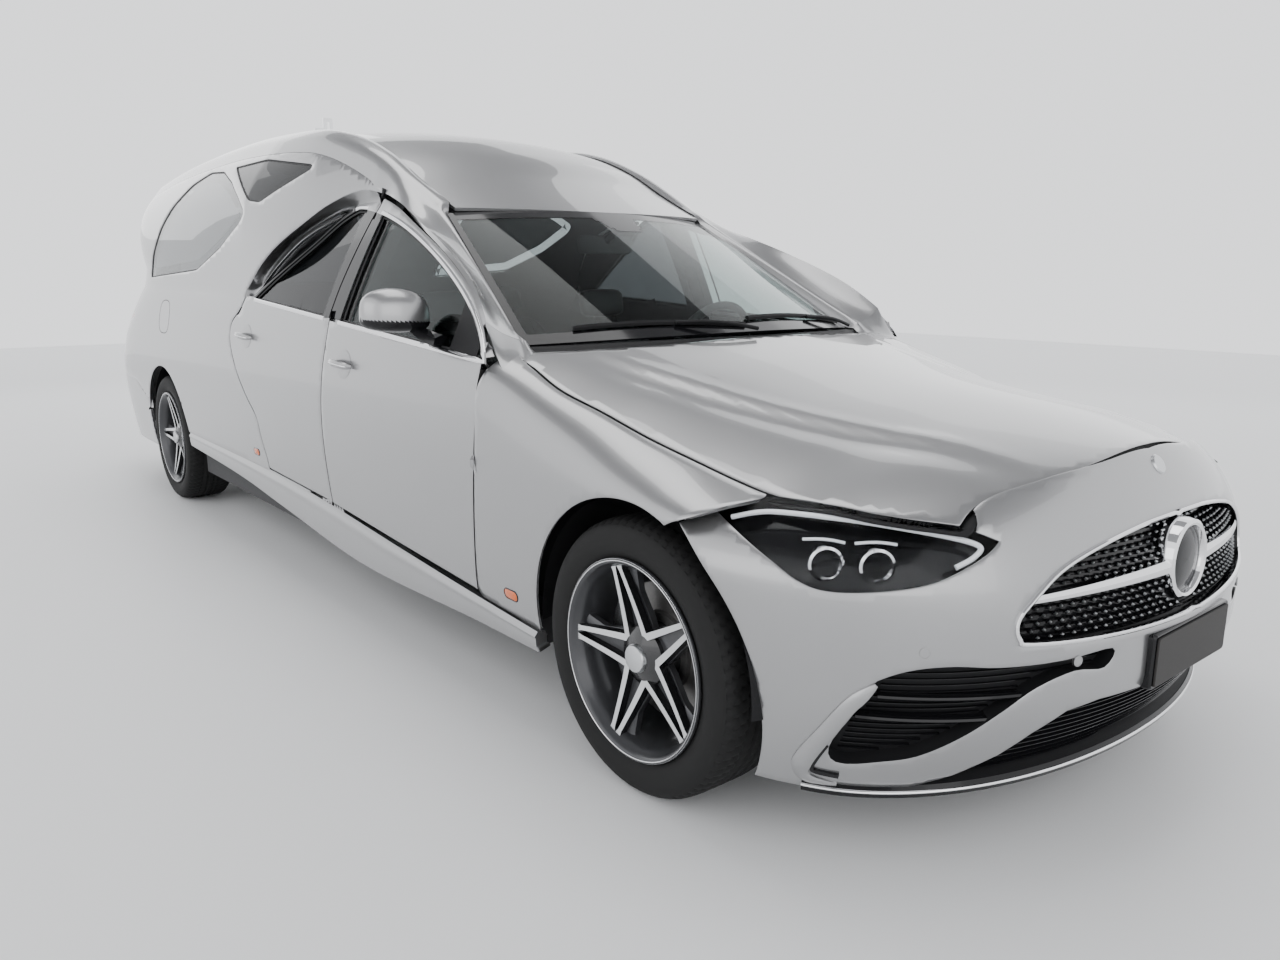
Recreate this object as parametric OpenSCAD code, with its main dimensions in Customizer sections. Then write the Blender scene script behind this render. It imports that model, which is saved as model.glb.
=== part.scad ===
// Coachbuilt hearse on a lengthened four-door saloon base.
// X points forward, Y to the car's left, Z up; the origin is on the ground, midway along and across.

/* [Overall] */
// Distance from the front axle to the nose
front_overhang = 840; // [800:5:880]
// Distance between the axles
wheelbase = 3860; // [3800:10:3920]
// Distance from the rear axle to the tail
rear_overhang = 1300; // [1260:10:1340]
// Widest half width of the body
half_width = 910; // [895:1:925]
// Height at which the body is widest
waist_z = 680; // [650:5:710]
// Height of the painted sides' lower edge above the ground
sill_z = 300; // [285:1:315]

/* [Wheels] */
// Outer radius of a tyre
tyre_r = 328; // [322:1:334]
// Width of a tyre
tyre_w = 225; // [205:5:235]
// Radius of a rim at its lip
rim_r = 238; // [228:1:244]
// Distance from the middle of the car to a tyre's outer wall
track_half = 897; // [885:1:900]
// Radius of a wheel arch's edge
arch_r = 378; // [368:1:386]
// Radius of the wheel bearing's shaft
axle_r = 20; // [16:1:24]
// Number of twin spokes in a rim
spokes = 5; // [4:1:7]

/* [Panels] */
// Thickness of a fixed outer panel
skin_t = 12; // [9:1:15]
// Thickness of a door
door_t = 55; // [45:1:60]
// Thickness of window glass
glass_t = 5; // [4:1:6]
// Gap round a door or a lid
shut = 7; // [6:0.5:8]
// Gap left between two fixed pieces
seam = 0.3; // [0.2:0.05:0.4]
// Radius of a hinge pin
pin_r = 4.5; // [4:0.5:5]
// Running clearance of a pin in its bore
run = 0.05; // [0.03:0.01:0.09]

/* [Hidden] */
front_axle = 2160;
rear_axle = front_axle - wheelbase;
hub_z = tyre_r;

// ---- interpolation -------------------------------------------------------------------------
// Smooth curve through a few points [x, value], read at x
function seg(p, x, i = 0) = i >= len(p) - 2 || x <= p[i + 1][0] ? i : seg(p, x, i + 1);
function rise(p, a, b) = (p[b][1] - p[a][1]) / (p[b][0] - p[a][0]);
function tang(p, i) = rise(p, max(i - 1, 0), min(i + 1, len(p) - 1));
function along(p, x) = let(i = seg(p, x), h = p[i + 1][0] - p[i][0], t = (x - p[i][0]) / h)
    p[i][1] * (1 + 2 * t) * (1 - t) * (1 - t) + h * tang(p, i) * t * (1 - t) * (1 - t)
    + p[i + 1][1] * t * t * (3 - 2 * t) + h * tang(p, i + 1) * t * t * (t - 1);
// Smooth closed or open curve through points of an outline, n steps between each pair
function knot(p, i, loop) = p[loop ? (i + len(p)) % len(p) : max(0, min(i, len(p) - 1))];
function curve(p, n = 4, loop = false) = [for (i = [0 : len(p) - (loop ? 1 : 2)], k = [0 : n - 1])
    let(t = k / n, a = knot(p, i - 1, loop), b = knot(p, i, loop),
        c = knot(p, i + 1, loop), d = knot(p, i + 2, loop))
    b + (c - a) * (t / 2) + (2 * a - 5 * b + 4 * c - d) * (t * t / 2)
    + (3 * b - a - 3 * c + d) * (t * t * t / 2)];
function soft(u, k) = (u + sqrt(u * u + k * k)) / 2;
function mix(a, b, t) = a + (b - a) * t;
function clamp(t) = max(0, min(1, t));
function steps(a, b, n) = [for (i = [0 : n]) mix(a, b, i / n)];

// ---- the body's outer surfaces -------------------------------------------------------------
// Height of the belt under the side windows
function belt(x) = 1112 - 0.07 * soft(x + 660, 200);
// How far the side falls in above and below the waist
function fall(z) = 40 * pow((z - waist_z) / (z > waist_z ? 350 : 480), 2);
function belt_y(x) = half_width - fall(belt(x));
// Half width of the doors and their frames
function door_y(x, z) = let(d = soft(z - belt(x), 8))
    z > belt(x) ? belt_y(x) - 0.42 * d - 0.00022 * d * d : half_width - fall(z);
// Height of the rails along the roof's edges
function rail_z(x) = along([[-2480, 1664], [-1740, 1730], [-940, 1757], [-440, 1750], [-90, 1730],
    [120, 1690], [370, 1607], [590, 1505], [810, 1385], [1460, 1030]], x);
rail_y = 610;
// Half width of the coach side above the doors and round the load space
function bulge(x) = 1 + 2.4 * pow(clamp((400 - x) / 850), 1.3);
function coach_y(x, z) = let(t = clamp((z - belt(x)) / (rail_z(x) - belt(x))))
    z > belt(x) ? rail_y + (belt_y(x) - rail_y) * (1 - pow(t, bulge(x))) : half_width - fall(z);
// Nose: half width at a height, lean-back of the nose, and a point at angle a from the side
function nose_w(z) = half_width - (z < waist_z ? fall(z) : 0) - 0.0059 * pow(soft(z - 600, 30), 2);
function lean(z) = 107 * pow(soft(z - 450, 60) / 336, 2) + 80 * pow(max(0, (380 - z) / 190), 1.5);
function nose_at(a, z, side = 1) = let(u = pow(sin(a), 2 / 3), w = pow(pow(cos(a), 2), 0.494))
    [front_axle + 40 + (front_overhang - 40 - lean(z)) * u, side * nose_w(z) * w, z];

// ---- solids from surfaces ------------------------------------------------------------------
function wall_n(g, i, j) = let(r = len(g) - 1, c = len(g[0]) - 1,
    n = cross(g[min(i + 1, r)][j] - g[max(i - 1, 0)][j], g[i][min(j + 1, c)] - g[i][max(j - 1, 0)])) n / norm(n);
// Plate on the grid of points g, from depth top to depth deep; each is a number or a grid of them
function sunk(g, d) = [for (i = [0 : len(g) - 1], j = [0 : len(g[0]) - 1])
    g[i][j] - wall_n(g, i, j) * (is_list(d) ? d[i][j] : d)];
module plate(g, deep, top = 0) {
    r = len(g) - 1;
    c = len(g[0]) - 1;
    n = (r + 1) * (c + 1);
    function id(i, j) = i * (c + 1) + j;
    sides = [for (i = [0 : r - 1], j = [0 : c - 1]) each
        [[id(i, j), id(i, j + 1), id(i + 1, j + 1)], [id(i, j), id(i + 1, j + 1), id(i + 1, j)],
         [n + id(i, j), n + id(i + 1, j + 1), n + id(i, j + 1)],
         [n + id(i, j), n + id(i + 1, j), n + id(i + 1, j + 1)]]];
    ends = [for (i = [0 : r - 1]) each
        [[id(i, 0), id(i + 1, 0), n + id(i + 1, 0)], [id(i, 0), n + id(i + 1, 0), n + id(i, 0)],
         [id(i, c), n + id(i + 1, c), id(i + 1, c)], [id(i, c), n + id(i, c), n + id(i + 1, c)]]];
    rims = [for (j = [0 : c - 1]) each
        [[id(0, j), n + id(0, j + 1), id(0, j + 1)], [id(0, j), n + id(0, j), n + id(0, j + 1)],
         [id(r, j), id(r, j + 1), n + id(r, j + 1)], [id(r, j), n + id(r, j + 1), n + id(r, j)]]];
    polyhedron(concat(sunk(g, top), sunk(g, deep)), concat(sides, ends, rims), convexity = 8);
}
// Outline in X and Z carried across from y = lo to y = hi
module across(lo, hi) { translate([0, hi, 0]) rotate([90, 0, 0]) linear_extrude(hi - lo) children(); }
// Outline in Y and Z carried along from x = lo to x = hi
module fore(lo, hi) { translate([lo, 0, 0]) rotate([90, 0, 90]) linear_extrude(hi - lo) children(); }
// Outline in X and Y carried up from z = lo to z = hi
module up(lo, hi) { translate([0, 0, lo]) linear_extrude(hi - lo) children(); }
module both() { children(); mirror([0, 1, 0]) children(); }
module box(a, b) { translate(a) cube(b - a); }

// Side of the body drawn in toward the tail
function taper_x(z) = along([[200, -2200], [700, -2200], [1150, -1520], [1400, -1620], [1720, -2060]], z);
function tail_end(z) = along([[200, -2950], [600, -3000], [780, -3000], [900, -2980], [1020, -2890],
    [1200, -2720], [1450, -2585], [1660, -2500], [1760, -2465]], z) - (rear_overhang - 1300);
// Squareness of the tail's plan at a height
function tail_n(z) = mix(4.5, 12, clamp((z - 1200) / 450));
function drawn(u, z) = pow(1 - pow(clamp(u), tail_n(z)), 0.46);
function side_y(x, z) = coach_y(x, z) * drawn((taper_x(z) - x) / (taper_x(z) - tail_end(z)), z);
function tail_at(b, z, side = 1) = let(x = taper_x(z) + (tail_end(z) - taper_x(z)) * pow(sin(b), 2 / tail_n(z)))
    [x, side * coach_y(x, z) * pow(pow(cos(b), 2), 0.46), z];

// ---- outlines ------------------------------------------------------------------------------
// Side window opening of the doors, in X and Z
dlo = [[1530, 968], [1460, 1038], [1332, 1120], [1108, 1219], [831, 1314], [593, 1374], [396, 1404],
    [155, 1398], [-99, 1330], [-253, 1235], [-341, 1146], [-363, 1086]];
// Edge of the coach panel over the doors
brow = [[1560, 985], [1480, 1068], [1350, 1158], [1120, 1258], [840, 1356], [648, 1420], [450, 1466],
    [333, 1470], [199, 1430], [43, 1345], [-202, 1225], [-412, 1113]];
// Rear edge of the rear door below the belt
rear_edge = [[-412, 1113], [-474, 1035], [-558, 977], [-564, 900], [-475, 781], [-350, 675], [-258, 607],
    [-218, 516], [-184, 440]];
// Joint between the doors, and the front edge of the front door
split = [[478, 290], [466, 540], [462, 680], [468, 820], [482, 1000], [470, 1150], [462, 1500]];
front_edge = [[1482, 360], [1500, 499], [1518, 670], [1527, 807], [1527, 900], [1548, 975], [1560, 985]];
door_bottom = [[-176, 400], [404, 380], [970, 342], [1479, 310]];
module door_area(grow = 0) offset(delta = grow)
    polygon(concat(curve(front_edge), curve(brow), curve(rear_edge), door_bottom));
// What the rear door keeps above the belt, so that its leaning frame swings out past the coach panel
swing = [45, -40];
module swing_area(grow = 0) offset(delta = grow) {
    intersection() {
        translate(swing) door_area();
        translate([-700, 0]) square([2400, 1428]);
    }
    translate([-700, 0]) square([2400, 1090]);
}
module aft_of_split(dx) translate([475, -880, 0]) rotate([0, 0, -15]) translate([-475, 880, 0])
    across(-1100, -300) polygon(concat([for (p = curve(split)) [p[0] + dx, p[1]]], [[-900, 1500], [-900, 290]]));

// ---- doors ---------------------------------------------------------------------------------
hinge_y = 884;
front_hinge_x = 1463;
rear_hinge_x = 405;
hinge_z = [450, 800];
flange_t = 9;
frame_t = 30;
function door_rows(hx, far) = concat([for (x = steps(far, hx - 40, 7)) x], [hx - 26], [for (x = steps(hx, hx + 100, 2)) x]);
function door_zs(x) = concat([290, 400, 520, 620, 740, 860], [for (k = [0 : 5]) mix(belt(x), 1480, k / 5)]);
function door_grid(rows) = [for (x = rows) [for (z = door_zs(x)) [x, -door_y(x, z), z]]];
function door_deep(rows, hx) = [for (x = rows) [for (j = [0 : 11]) x > hx - 30 && j < 6 ? flange_t : j < 6 ? door_t : frame_t]];
module window_area(grow = 0) offset(delta = grow) polygon(curve(dlo));
module door_outline() {
    door_area(-2 * shut);
    intersection() {
        door_area(-shut);
        translate([-700, 0]) square([2400, 1010]);
    }
}
module door_cut(front) {
    rows = door_rows(front ? front_hinge_x : rear_hinge_x, front ? 430 : -600);
    difference() {
        intersection() {
            plate(door_grid(rows), door_deep(rows, front ? front_hinge_x : rear_hinge_x));
            across(-1100, -300) door_outline();
        }
        intersection() {
            plate(door_grid(rows), 60, 4);
            for (z = hinge_z) translate([front ? front_hinge_x : rear_hinge_x, -hinge_y, z - 46]) cylinder(r = 16, h = 92, $fn = 32);
        }
        if (front) aft_of_split(shut / 2);
        children();
    }
}
module knuckles(hx) for (z = hinge_z) translate([hx, -hinge_y, z - 20]) {
    cylinder(r = pin_r + 4, h = 40, $fn = 32);
    translate([-34, -5, 0]) cube([34, 10, 40]);
}
module bores(hx) for (z = hinge_z) translate([hx, -hinge_y, z - 45]) cylinder(r = pin_r + run, h = 90, $fn = 32);
module window_hole(x0, x1) across(-1100, -300) intersection() {
    window_area(0);
    translate([x0, 900]) square([x1 - x0, 600]);
}
module front_door() {
    difference() {
        union() {
            difference() {
                door_cut(true);
                window_hole(575, 1500);
            }
            knuckles(front_hinge_x);
        }
        bores(front_hinge_x);
    }
}
module rear_door() {
    difference() {
        union() {
            difference() {
                intersection() {
                    door_cut(false);
                    aft_of_split(-shut / 2);
                    across(-1100, -300) swing_area();
                }
                intersection() {
                    window_hole(-360, 430);
                    across(-1100, -300) swing_area(-20);
                }
            }
            knuckles(rear_hinge_x);
        }
        bores(rear_hinge_x);
    }
}
module pane(x0, x1, edge = 20) intersection() {
    across(-1100, -300) if (x0 < 0) swing_area(-edge - seam); else translate([-700, 0]) square([2400, 1600]);
    plate(door_grid(steps(x0, x1, 6)), 12 + glass_t, 12);
    across(-1100, -300) intersection() {
        window_area(-seam);
        translate([x0, 900]) square([x1 - x0, 600]);
    }
}
module front_door_right() color("silver") front_door();
module front_door_left() color("silver") mirror([0, 1, 0]) front_door();
module rear_door_right() color("silver") rear_door();
module rear_door_left() color("silver") mirror([0, 1, 0]) rear_door();
module front_glass_right() color("lightblue") pane(575 + seam, 1500 - seam);
module front_glass_left() color("lightblue") mirror([0, 1, 0]) pane(575 + seam, 1500 - seam);
module rear_glass_right() color("dimgray") pane(-360 + seam, 430 - seam);
module rear_glass_left() color("dimgray") mirror([0, 1, 0]) pane(-360 + seam, 430 - seam);

// Door mirror: rounded shell on an arm from the door's front corner
module mirror_body() {
    hull() for (p = [[1150, -1010, 1078, 36], [1150, -915, 1078, 36], [1190, -1000, 1070, 34], [1215, -925, 1070, 32]])
        translate([p[0], p[1], p[2]]) sphere(r = p[3], $fn = 16);
    hull() {
        translate([1205, -935, 1050]) sphere(r = 18, $fn = 12);
        translate([1280, -872, 962]) sphere(r = 18, $fn = 12);
    }
}
module mirror_right() color("silver") difference() {
    mirror_body();
    plate(door_grid(door_rows(front_hinge_x, 430)), 200, -seam);
}
module mirror_left() color("silver") mirror([0, 1, 0]) difference() {
    mirror_body();
    plate(door_grid(door_rows(front_hinge_x, 430)), 200, -seam);
}

// ---- bonnet and wings ----------------------------------------------------------------------
// Plan and height of the shut line between wing and bonnet
function wing_y(x) = along([[1480, 762], [1626, 785], [1770, 795], [1924, 780], [2077, 765], [2240, 752],
    [2463, 737], [2617, 705], [2699, 657], [2784, 578], [2870, 470]], x);
function wing_z(x) = along([[1480, 990], [1626, 950], [1770, 903], [1924, 863], [2077, 820], [2240, 784],
    [2350, 762], [2463, 745], [2617, 745], [2784, 720], [2870, 700]], x);
// Section of a wing, from its side at a = 0 up to the shut line at a = 1
function wing_at(x, a) = let(c = wing_y(x) - 130, w = half_width - c, k = mix(1, 0.42, clamp((2240 - x) / 700)),
    s = asin(pow(130 / w, 1 / k)), b = mix(90, s, a))
    [x, -(c + w * pow(sin(b), k)), waist_z + (wing_z(x) - waist_z) * pow(cos(b) / cos(s), k)];
wing_grid = [for (x = concat(steps(1500, 1760, 3), steps(1880, 2500, 5)))
    concat([for (z = [285, 400, 520]) [x, -(half_width - fall(z)), z]], [for (a = steps(0, 1, 6)) wing_at(x, a)])];
// Centre line of the bonnet and the bonnet's crown
function bonnet_mid(x) = along([[1700, 1014], [2160, 930], [2560, 880], [2863, 828], [2900, 815]], x);
function bonnet_at(x, v) = let(m = bonnet_mid(x), e = wing_z(x)) [x, v * wing_y(x), m - (m - e) * pow(abs(v), 1.9)];
bonnet_grid = [for (x = concat(steps(1500, 1740, 2), steps(1900, 2560, 4), steps(2660, 2880, 2)))
    [for (v = steps(-1, 1, 12)) bonnet_at(x, v)]];
// Bonnet outline in plan, right half, from the rear middle round to the front middle
bonnet_plan = concat([[1752, 0], [1716, -300], [1650, -520], [1590, -650], [1550, -735]],
    [for (x = [1585, 1640, 1770, 1924, 2077, 2240, 2463, 2617, 2699]) [x, -wing_y(x)]],
    [[2780, -578], [2775, -503], [2814, -360], [2850, -187], [2862, 0]]);
module bonnet_area(grow = 0) offset(delta = grow) polygon(concat(bonnet_plan,
    [for (i = [len(bonnet_plan) - 2 : -1 : 1]) [bonnet_plan[i][0], -bonnet_plan[i][1]]]));
// Side view of the bumper: everything ahead of the seam that runs from the arch to the lamp's tip
bumper_seam = [[2180, 100], [2225, 600], [2274, 665], [2324, 691], [2373, 711], [2412, 731], [2479, 755]];
module bumper_area(grow = 0) offset(delta = grow) polygon(concat(bumper_seam, [[2479, 1000], [3100, 1000], [3100, 100]]));
module arch(x, grow = 0) translate([x, -300, hub_z]) rotate([90, 0, 0])
    cylinder(r = arch_r + grow, h = 800, $fn = 96);
// Headlamp outline, seen square to the corner of the nose: along the corner, and up
lamp_top = [[1091, 713], [1139, 730], [1219, 749], [1352, 746], [1444, 735], [1560, 719], [1633, 694]];
lamp_low = [[1633, 694], [1608, 674], [1560, 650], [1493, 626], [1401, 612], [1308, 607], [1255, 619], [1199, 651], [1091, 713]];
module lamp_area(grow = 0) offset(delta = grow) polygon(concat(curve(lamp_top, 3), curve(lamp_low, 3)));
module slant(lo, hi) rotate([0, 0, 45]) across(-hi, -lo) children();

// ---- nose ----------------------------------------------------------------------------------
nose_turn = [0.02, 0.1, 0.2, 0.3, 0.4, 0.5, 0.6, 0.7, 0.8, 0.9];
nose_zs = [170, 230, 300, 370, 440, 510, 570, 620, 670, 720, 770, 830];
nose_grid = concat([for (t = nose_turn) [for (z = nose_zs) nose_at(90 * pow(t, 1.6), z, -1)]],
    [[for (z = nose_zs) nose_at(90, z)]],
    [for (i = [len(nose_turn) - 1 : -1 : 0]) [for (z = nose_zs) nose_at(90 * pow(nose_turn[i], 1.6), z, 1)]]);
grille_half = [[0, 695], [150, 690], [307, 668], [425, 634], [505, 580], [534, 545], [530, 510], [500, 496],
    [285, 486], [0, 480]];
intake_half = [[300, 462], [431, 458], [560, 460], [640, 468], [700, 463], [742, 444], [759, 418], [785, 300], [769, 245],
    [711, 255], [664, 270], [609, 312], [548, 368], [484, 410], [400, 432], [320, 425]];
lower_half = [[0, 350], [320, 355], [400, 345], [463, 303], [512, 255], [577, 210], [640, 185], [300, 186], [0, 190]];
module grille_area(grow = 0) offset(delta = grow) polygon(concat(curve(grille_half, 3), [[0, 480]],
    [for (p = [for (i = [len(grille_half) - 1 : -1 : 0]) grille_half[i]]) [-p[0], p[1]]]));
module intake_area(grow = 0) offset(delta = grow) {
    polygon(curve(intake_half, 2, true));
    mirror([1, 0]) polygon(curve(intake_half, 2, true));
}
module lower_area(grow = 0) offset(delta = grow) {
    polygon(lower_half);
    mirror([1, 0]) polygon(lower_half);
}
module front_bumper() color("silver") difference() {
    plate(nose_grid, skin_t);
    both() across(-1100, -0.5) difference() {
        translate([2000, 0]) square([1100, 1000]);
        bumper_area();
    }
    both() arch(front_axle);
    both() slant(1900, 3000) lamp_area();
    up(600, 1000) bonnet_area(shut);
    both() box([2440, -780, 745], [2560, -700, 760]);
    fore(2400, 3100) grille_area();
    fore(2400, 3100) intake_area();
    fore(2400, 3100) lower_area();
}
module front_grille() color("#202020") difference() {
    intersection() {
        plate(nose_grid, 36, skin_t + seam);
        fore(2400, 3100) grille_area(12);
    }
    intersection() {
        plate(nose_grid, 26, -5);
        fore(2400, 3100) grille_area(-8);
    }
}
module bumper_inserts() color("#151515") difference() {
    intersection() {
        plate(nose_grid, 48, skin_t + seam);
        fore(2400, 3100) union() {
            intake_area(10);
            lower_area(10);
        }
    }
    intersection() {
        plate(nose_grid, 38, -5);
        fore(2400, 3100) union() {
            intake_area(-8);
            lower_area(-8);
        }
    }
}
module headlamps() color("#303438") both() difference() {
    intersection() {
        plate(nose_grid, 45, 1);
        slant(1900, 3000) lamp_area(-seam);
    }
    up(696, 1000) bonnet_area(shut);
}
module front_wings() color("silver") both() difference() {
    plate(wing_grid, skin_t);
    across(-1100, -300) door_area();
    across(-1100, -300) bumper_area(seam);
    across(-1100, -300) translate([1400, 0]) square([85, 1200]);
    arch(front_axle);
    above_skirts();
    slant(1900, 3000) lamp_area();
    up(600, 1200) bonnet_area(shut);
}
bonnet_hinge = [1530, 0, 940];
module bonnet() color("silver") difference() {
    union() {
        intersection() {
            plate(bonnet_grid, 16);
            up(500, 1300) bonnet_area();
        }
        both() {
            intersection() {
                plate(bonnet_grid, 46, 6);
                box([1610, -655, 800], [1720, -627, 1100]);
            }
            hull() for (p = [[bonnet_hinge[0], bonnet_hinge[2]], [1625, 945]]) translate([p[0], -627, p[1]])
                rotate([90, 0, 0]) cylinder(r = 11, h = 28, $fn = 32);
        }
    }
    both() translate([bonnet_hinge[0], -600, bonnet_hinge[2]]) rotate([90, 0, 0]) cylinder(r = pin_r + run, h = 90, $fn = 32);
}

// ---- windscreen, cowl, rails and roof ------------------------------------------------------
screen_low = [1712, 1018];
screen_top = [908, 1398];
function screen_at(u, v) = let(e = abs(u), low = [screen_low[0] - 262 * pow(e, 2.2), 705 * u, screen_low[1] - 28 * e * e],
    top = [screen_top[0] - 112 * e * e, 570 * u, screen_top[1] - 18 * e * e]) mix(low, top, v) + [0, 0, 18 * v * (1 - v)];
screen_grid = [for (v = steps(1, 0, 5)) [for (u = steps(-1, 1, 10)) screen_at(u, v)]];
module windscreen() color("darkslategray") plate(screen_grid, glass_t + 1);
function screen_edge(x) = let(v = clamp((screen_low[0] - 262 - x) / (screen_low[0] - 262 - screen_top[0] + 112)))
    mix(705, 570, v);
cowl_grid = [for (k = [1, 0]) [for (u = steps(-1, 1, 10)) let(p = screen_at(u, 0), x = p[0] + 48 + 70 * abs(u))
    k == 1 ? p + [4, 0, -16 + 8 * abs(u)] : [x, p[1] * 1.03, bonnet_at(x, p[1] * 1.03 / wing_y(x))[2] - 30]]];
module cowl() color("#141414") difference() {
    plate(cowl_grid, 8);
    both() box([1400, -760, 880], [1700, -614, 1010]);
}
// Inner edge of a rail, where the roof panel or the windscreen begins
function rail_in(x) = x > 800 ? screen_edge(x) + 0.6 : 545;
function rail_top(x) = rail_y + 130 * pow(clamp((x - 810) / 650), 1.2);
function brow_z(x) = along([[-2600, -1000], [300, 1470], [450, 1466], [648, 1420], [840, 1356], [1120, 1258],
    [1350, 1158], [1480, 1068], [1530, 1015]], x);
function rail_low(x) = x > 420 ? brow_z(x) - 12 : rail_z(x) - 105;
function rail_side(x, z) = x > 420 ? mix(side_y(x, z), door_y(x, z), clamp((x - 420) / 160)) : side_y(x, z);
function rail_rows(x) = let(z0 = rail_low(x), z1 = rail_z(x), ys = rail_side(x, z0), yt = min(rail_top(x), ys - 12),
    yi = min(rail_in(x), x > 800 ? 900 : roof_in(x)), zi = x > 800 ? screen_z(x) : roof_z(x, yi) + 6)
    [[x, -ys, z0], [x, -mix(ys, yt, 0.45), mix(z0, z1, 0.62)], [x, -yt, z1 - 4], [x, -mix(yt, yi, 0.5), mix(z1, zi, 0.45) + 6],
     [x, -yi, zi]];
function screen_z(x) = mix(990, 1380, clamp((screen_low[0] - 262 - x) / 654));
rail_grid = [for (x = concat([-2498, -2445, -2380, -2300, -2200, -2050], steps(-1850, 120, 7), steps(330, 800, 4), steps(930, 1500, 5))) rail_rows(x)];
module roof_rails() color("silver") both() difference() {
    plate(rail_grid, 14);
    across(-1100, -300) door_area();
    plate(roof_grid, 40, -20);
    plate(screen_grid, 40, -20);
    fore(-3100, -2440) mirror([1, 0]) gate_area(shut);
    box([-2600, -562, 1500], [-2466, 0, 1670]);
    across(-1100, -300) under_rail();
}
// Axis of the tailgate's hinges, under the roof's rear edge
gate_axis = [-2400, 350, 1652];
function roof_mid(x) = along([[-2480, 1693], [-1640, 1780], [-890, 1800], [-290, 1776], [120, 1724], [370, 1643],
    [590, 1537], [908, 1398]], x);
function roof_z(x, y) = roof_mid(x) - 44 * pow(abs(y) / 545, 2.1);
function roof_in(x) = 545 * drawn((-2060 - x) / 490, 1700);
roof_grid = [for (s = concat([0, 0.02, 0.045, 0.075], steps(0.11, 0.53, 5), steps(0.62, 1, 6))) [for (v = steps(-1, 1, 8))
    let(x0 = gate_axis[0] - 38.5, x1 = screen_top[0] - 0.6 - 102 * v * v, x = mix(x0, x1, s), y = v * (roof_in(x) - seam)) [x, y, roof_z(x, y)]]];
module roof_panel() color("silver") difference() {
    plate(roof_grid, 12);
    plate(screen_grid, 40, -20);
}

// ---- coach sides and tail ------------------------------------------------------------------
coach_zs = [300, 420, 540, 640, 760, 880, 980, 1080, 1180, 1290, 1400, 1500, 1590, 1680];
coach_grid = concat([for (b = [64, 52, 40, 29, 19, 10]) [for (z = coach_zs) tail_at(b, z, -1)]],
    [for (s = [1, 0.88, 0.76, 0.64, 0.52, 0.42, 0.34, 0.26, 0.18, 0.1, 0]) [for (z = coach_zs)
        let(x = mix(560, taper_x(z), s)) [x, -side_y(x, z), z]]]);
module under_rail(down = 0) polygon(concat([for (x = [640, 480, 330, 120, -160, -440, -720, -1000, -1280, -1560, -1850,
    -2050, -2300, -2600]) [x, rail_z(x) - 90 - down]], [[-3200, 1500], [-3200, 0], [640, 0]]));
// Load space windows: the long rounded one and the small pointed one above the doors
rear_light = [[-1126, 1191], [-2002, 1151], [-1905, 1270], [-1760, 1400], [-1615, 1500], [-1400, 1600], [-1184, 1642],
    [-950, 1628], [-738, 1568], [-560, 1490], [-440, 1425], [-482, 1385], [-751, 1285]];
upper_light = [[-800, 1636], [-422, 1640], [-10, 1590], [0, 1572], [-94, 1535], [-310, 1458], [-420, 1470], [-620, 1560]];
module rear_light_area(grow = 0) offset(delta = grow) polygon(rear_light);
module upper_light_area(grow = 0) offset(delta = grow) polygon(upper_light);
bumper_line = [[-2060, 0], [-2060, 500], [-2300, 590], [-2700, 625], [-3200, 625], [-3200, 0]];
gate_half = [[0, 636], [590, 636], [650, 760], [655, 1000], [645, 1180], [605, 1380], [560, 1530], [500, 1610], [440, 1660],
    [0, 1690]];
module gate_area(grow = 0) offset(delta = grow) {
    polygon(gate_half);
    mirror([1, 0]) polygon(gate_half);
}
lip_grid = [for (x = steps(-2506, gate_axis[0] - 52, 2)) [for (v = steps(-1, 1, 8))
    [x, v * (roof_in(x) - shut), roof_z(x, v * (roof_in(x) - shut))]]];
lamp_half = [[672, 850], [880, 865], [880, 955], [672, 968]];
module tail_lamp_area(grow = 0) offset(delta = grow) polygon(lamp_half);
// Return that closes the step between the coach panel and the rear door's frame
return_grid = door_grid(steps(-520, 430, 8));
module return_area(grow) difference() {
    intersection() {
        door_area(grow);
        translate([-700, 1100]) square([960, 500]);
    }
    children();
}
module coach_sides() color("silver") both() {
    difference() {
        plate(coach_grid, skin_t + 6);
        across(-1100, -300) door_area();
        across(-1100, -300) difference() {
            translate([-3300, -100]) square([4500, 2200]);
            under_rail(seam);
        }
        across(-1100, -300) polygon(bumper_line);
        above_skirts();
        across(-1100, -300) rear_light_area();
        across(-1100, -300) upper_light_area();
        arch(rear_axle);
        fore(-3100, -2200) mirror([1, 0]) gate_area(shut);
        fore(-3100, -2300) mirror([1, 0]) tail_lamp_area();
        box([-2600, -418, 1600], [-2400, 0, 1700]);
        box([-2600, -576, 1526], [-2458, 0, 1700]);
    }
    intersection() {
        across(-1100, -300) return_area(8) door_area();
        plate(coach_grid, 200, 6);
        plate(return_grid, 42, -220);
    }
    intersection() {
        across(-1100, -300) return_area(4) swing_area(-12);
        plate(return_grid, 42, 36);
    }
}
module coach_windows() color("lightgray") both() intersection() {
    plate(coach_grid, 11, 5);
    across(-1100, -300) union() {
        rear_light_area(-seam);
        upper_light_area(-seam);
    }
}
tail_turn = [1, 6, 16, 30, 44, 58, 74];
function tail_start(z, side) = [taper_x(z) + 170, side * side_y(taper_x(z) + 170, z), z];
function tail_grid(zs) = concat([[for (z = zs) tail_start(z, 1)]], [for (b = tail_turn) [for (z = zs) tail_at(b, z, 1)]], [[for (z = zs) tail_at(90, z)]],
    [for (i = [len(tail_turn) - 1 : -1 : 0]) [for (z = zs) tail_at(tail_turn[i], z, -1)]],
    [[for (z = zs) tail_start(z, -1)]]);
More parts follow.
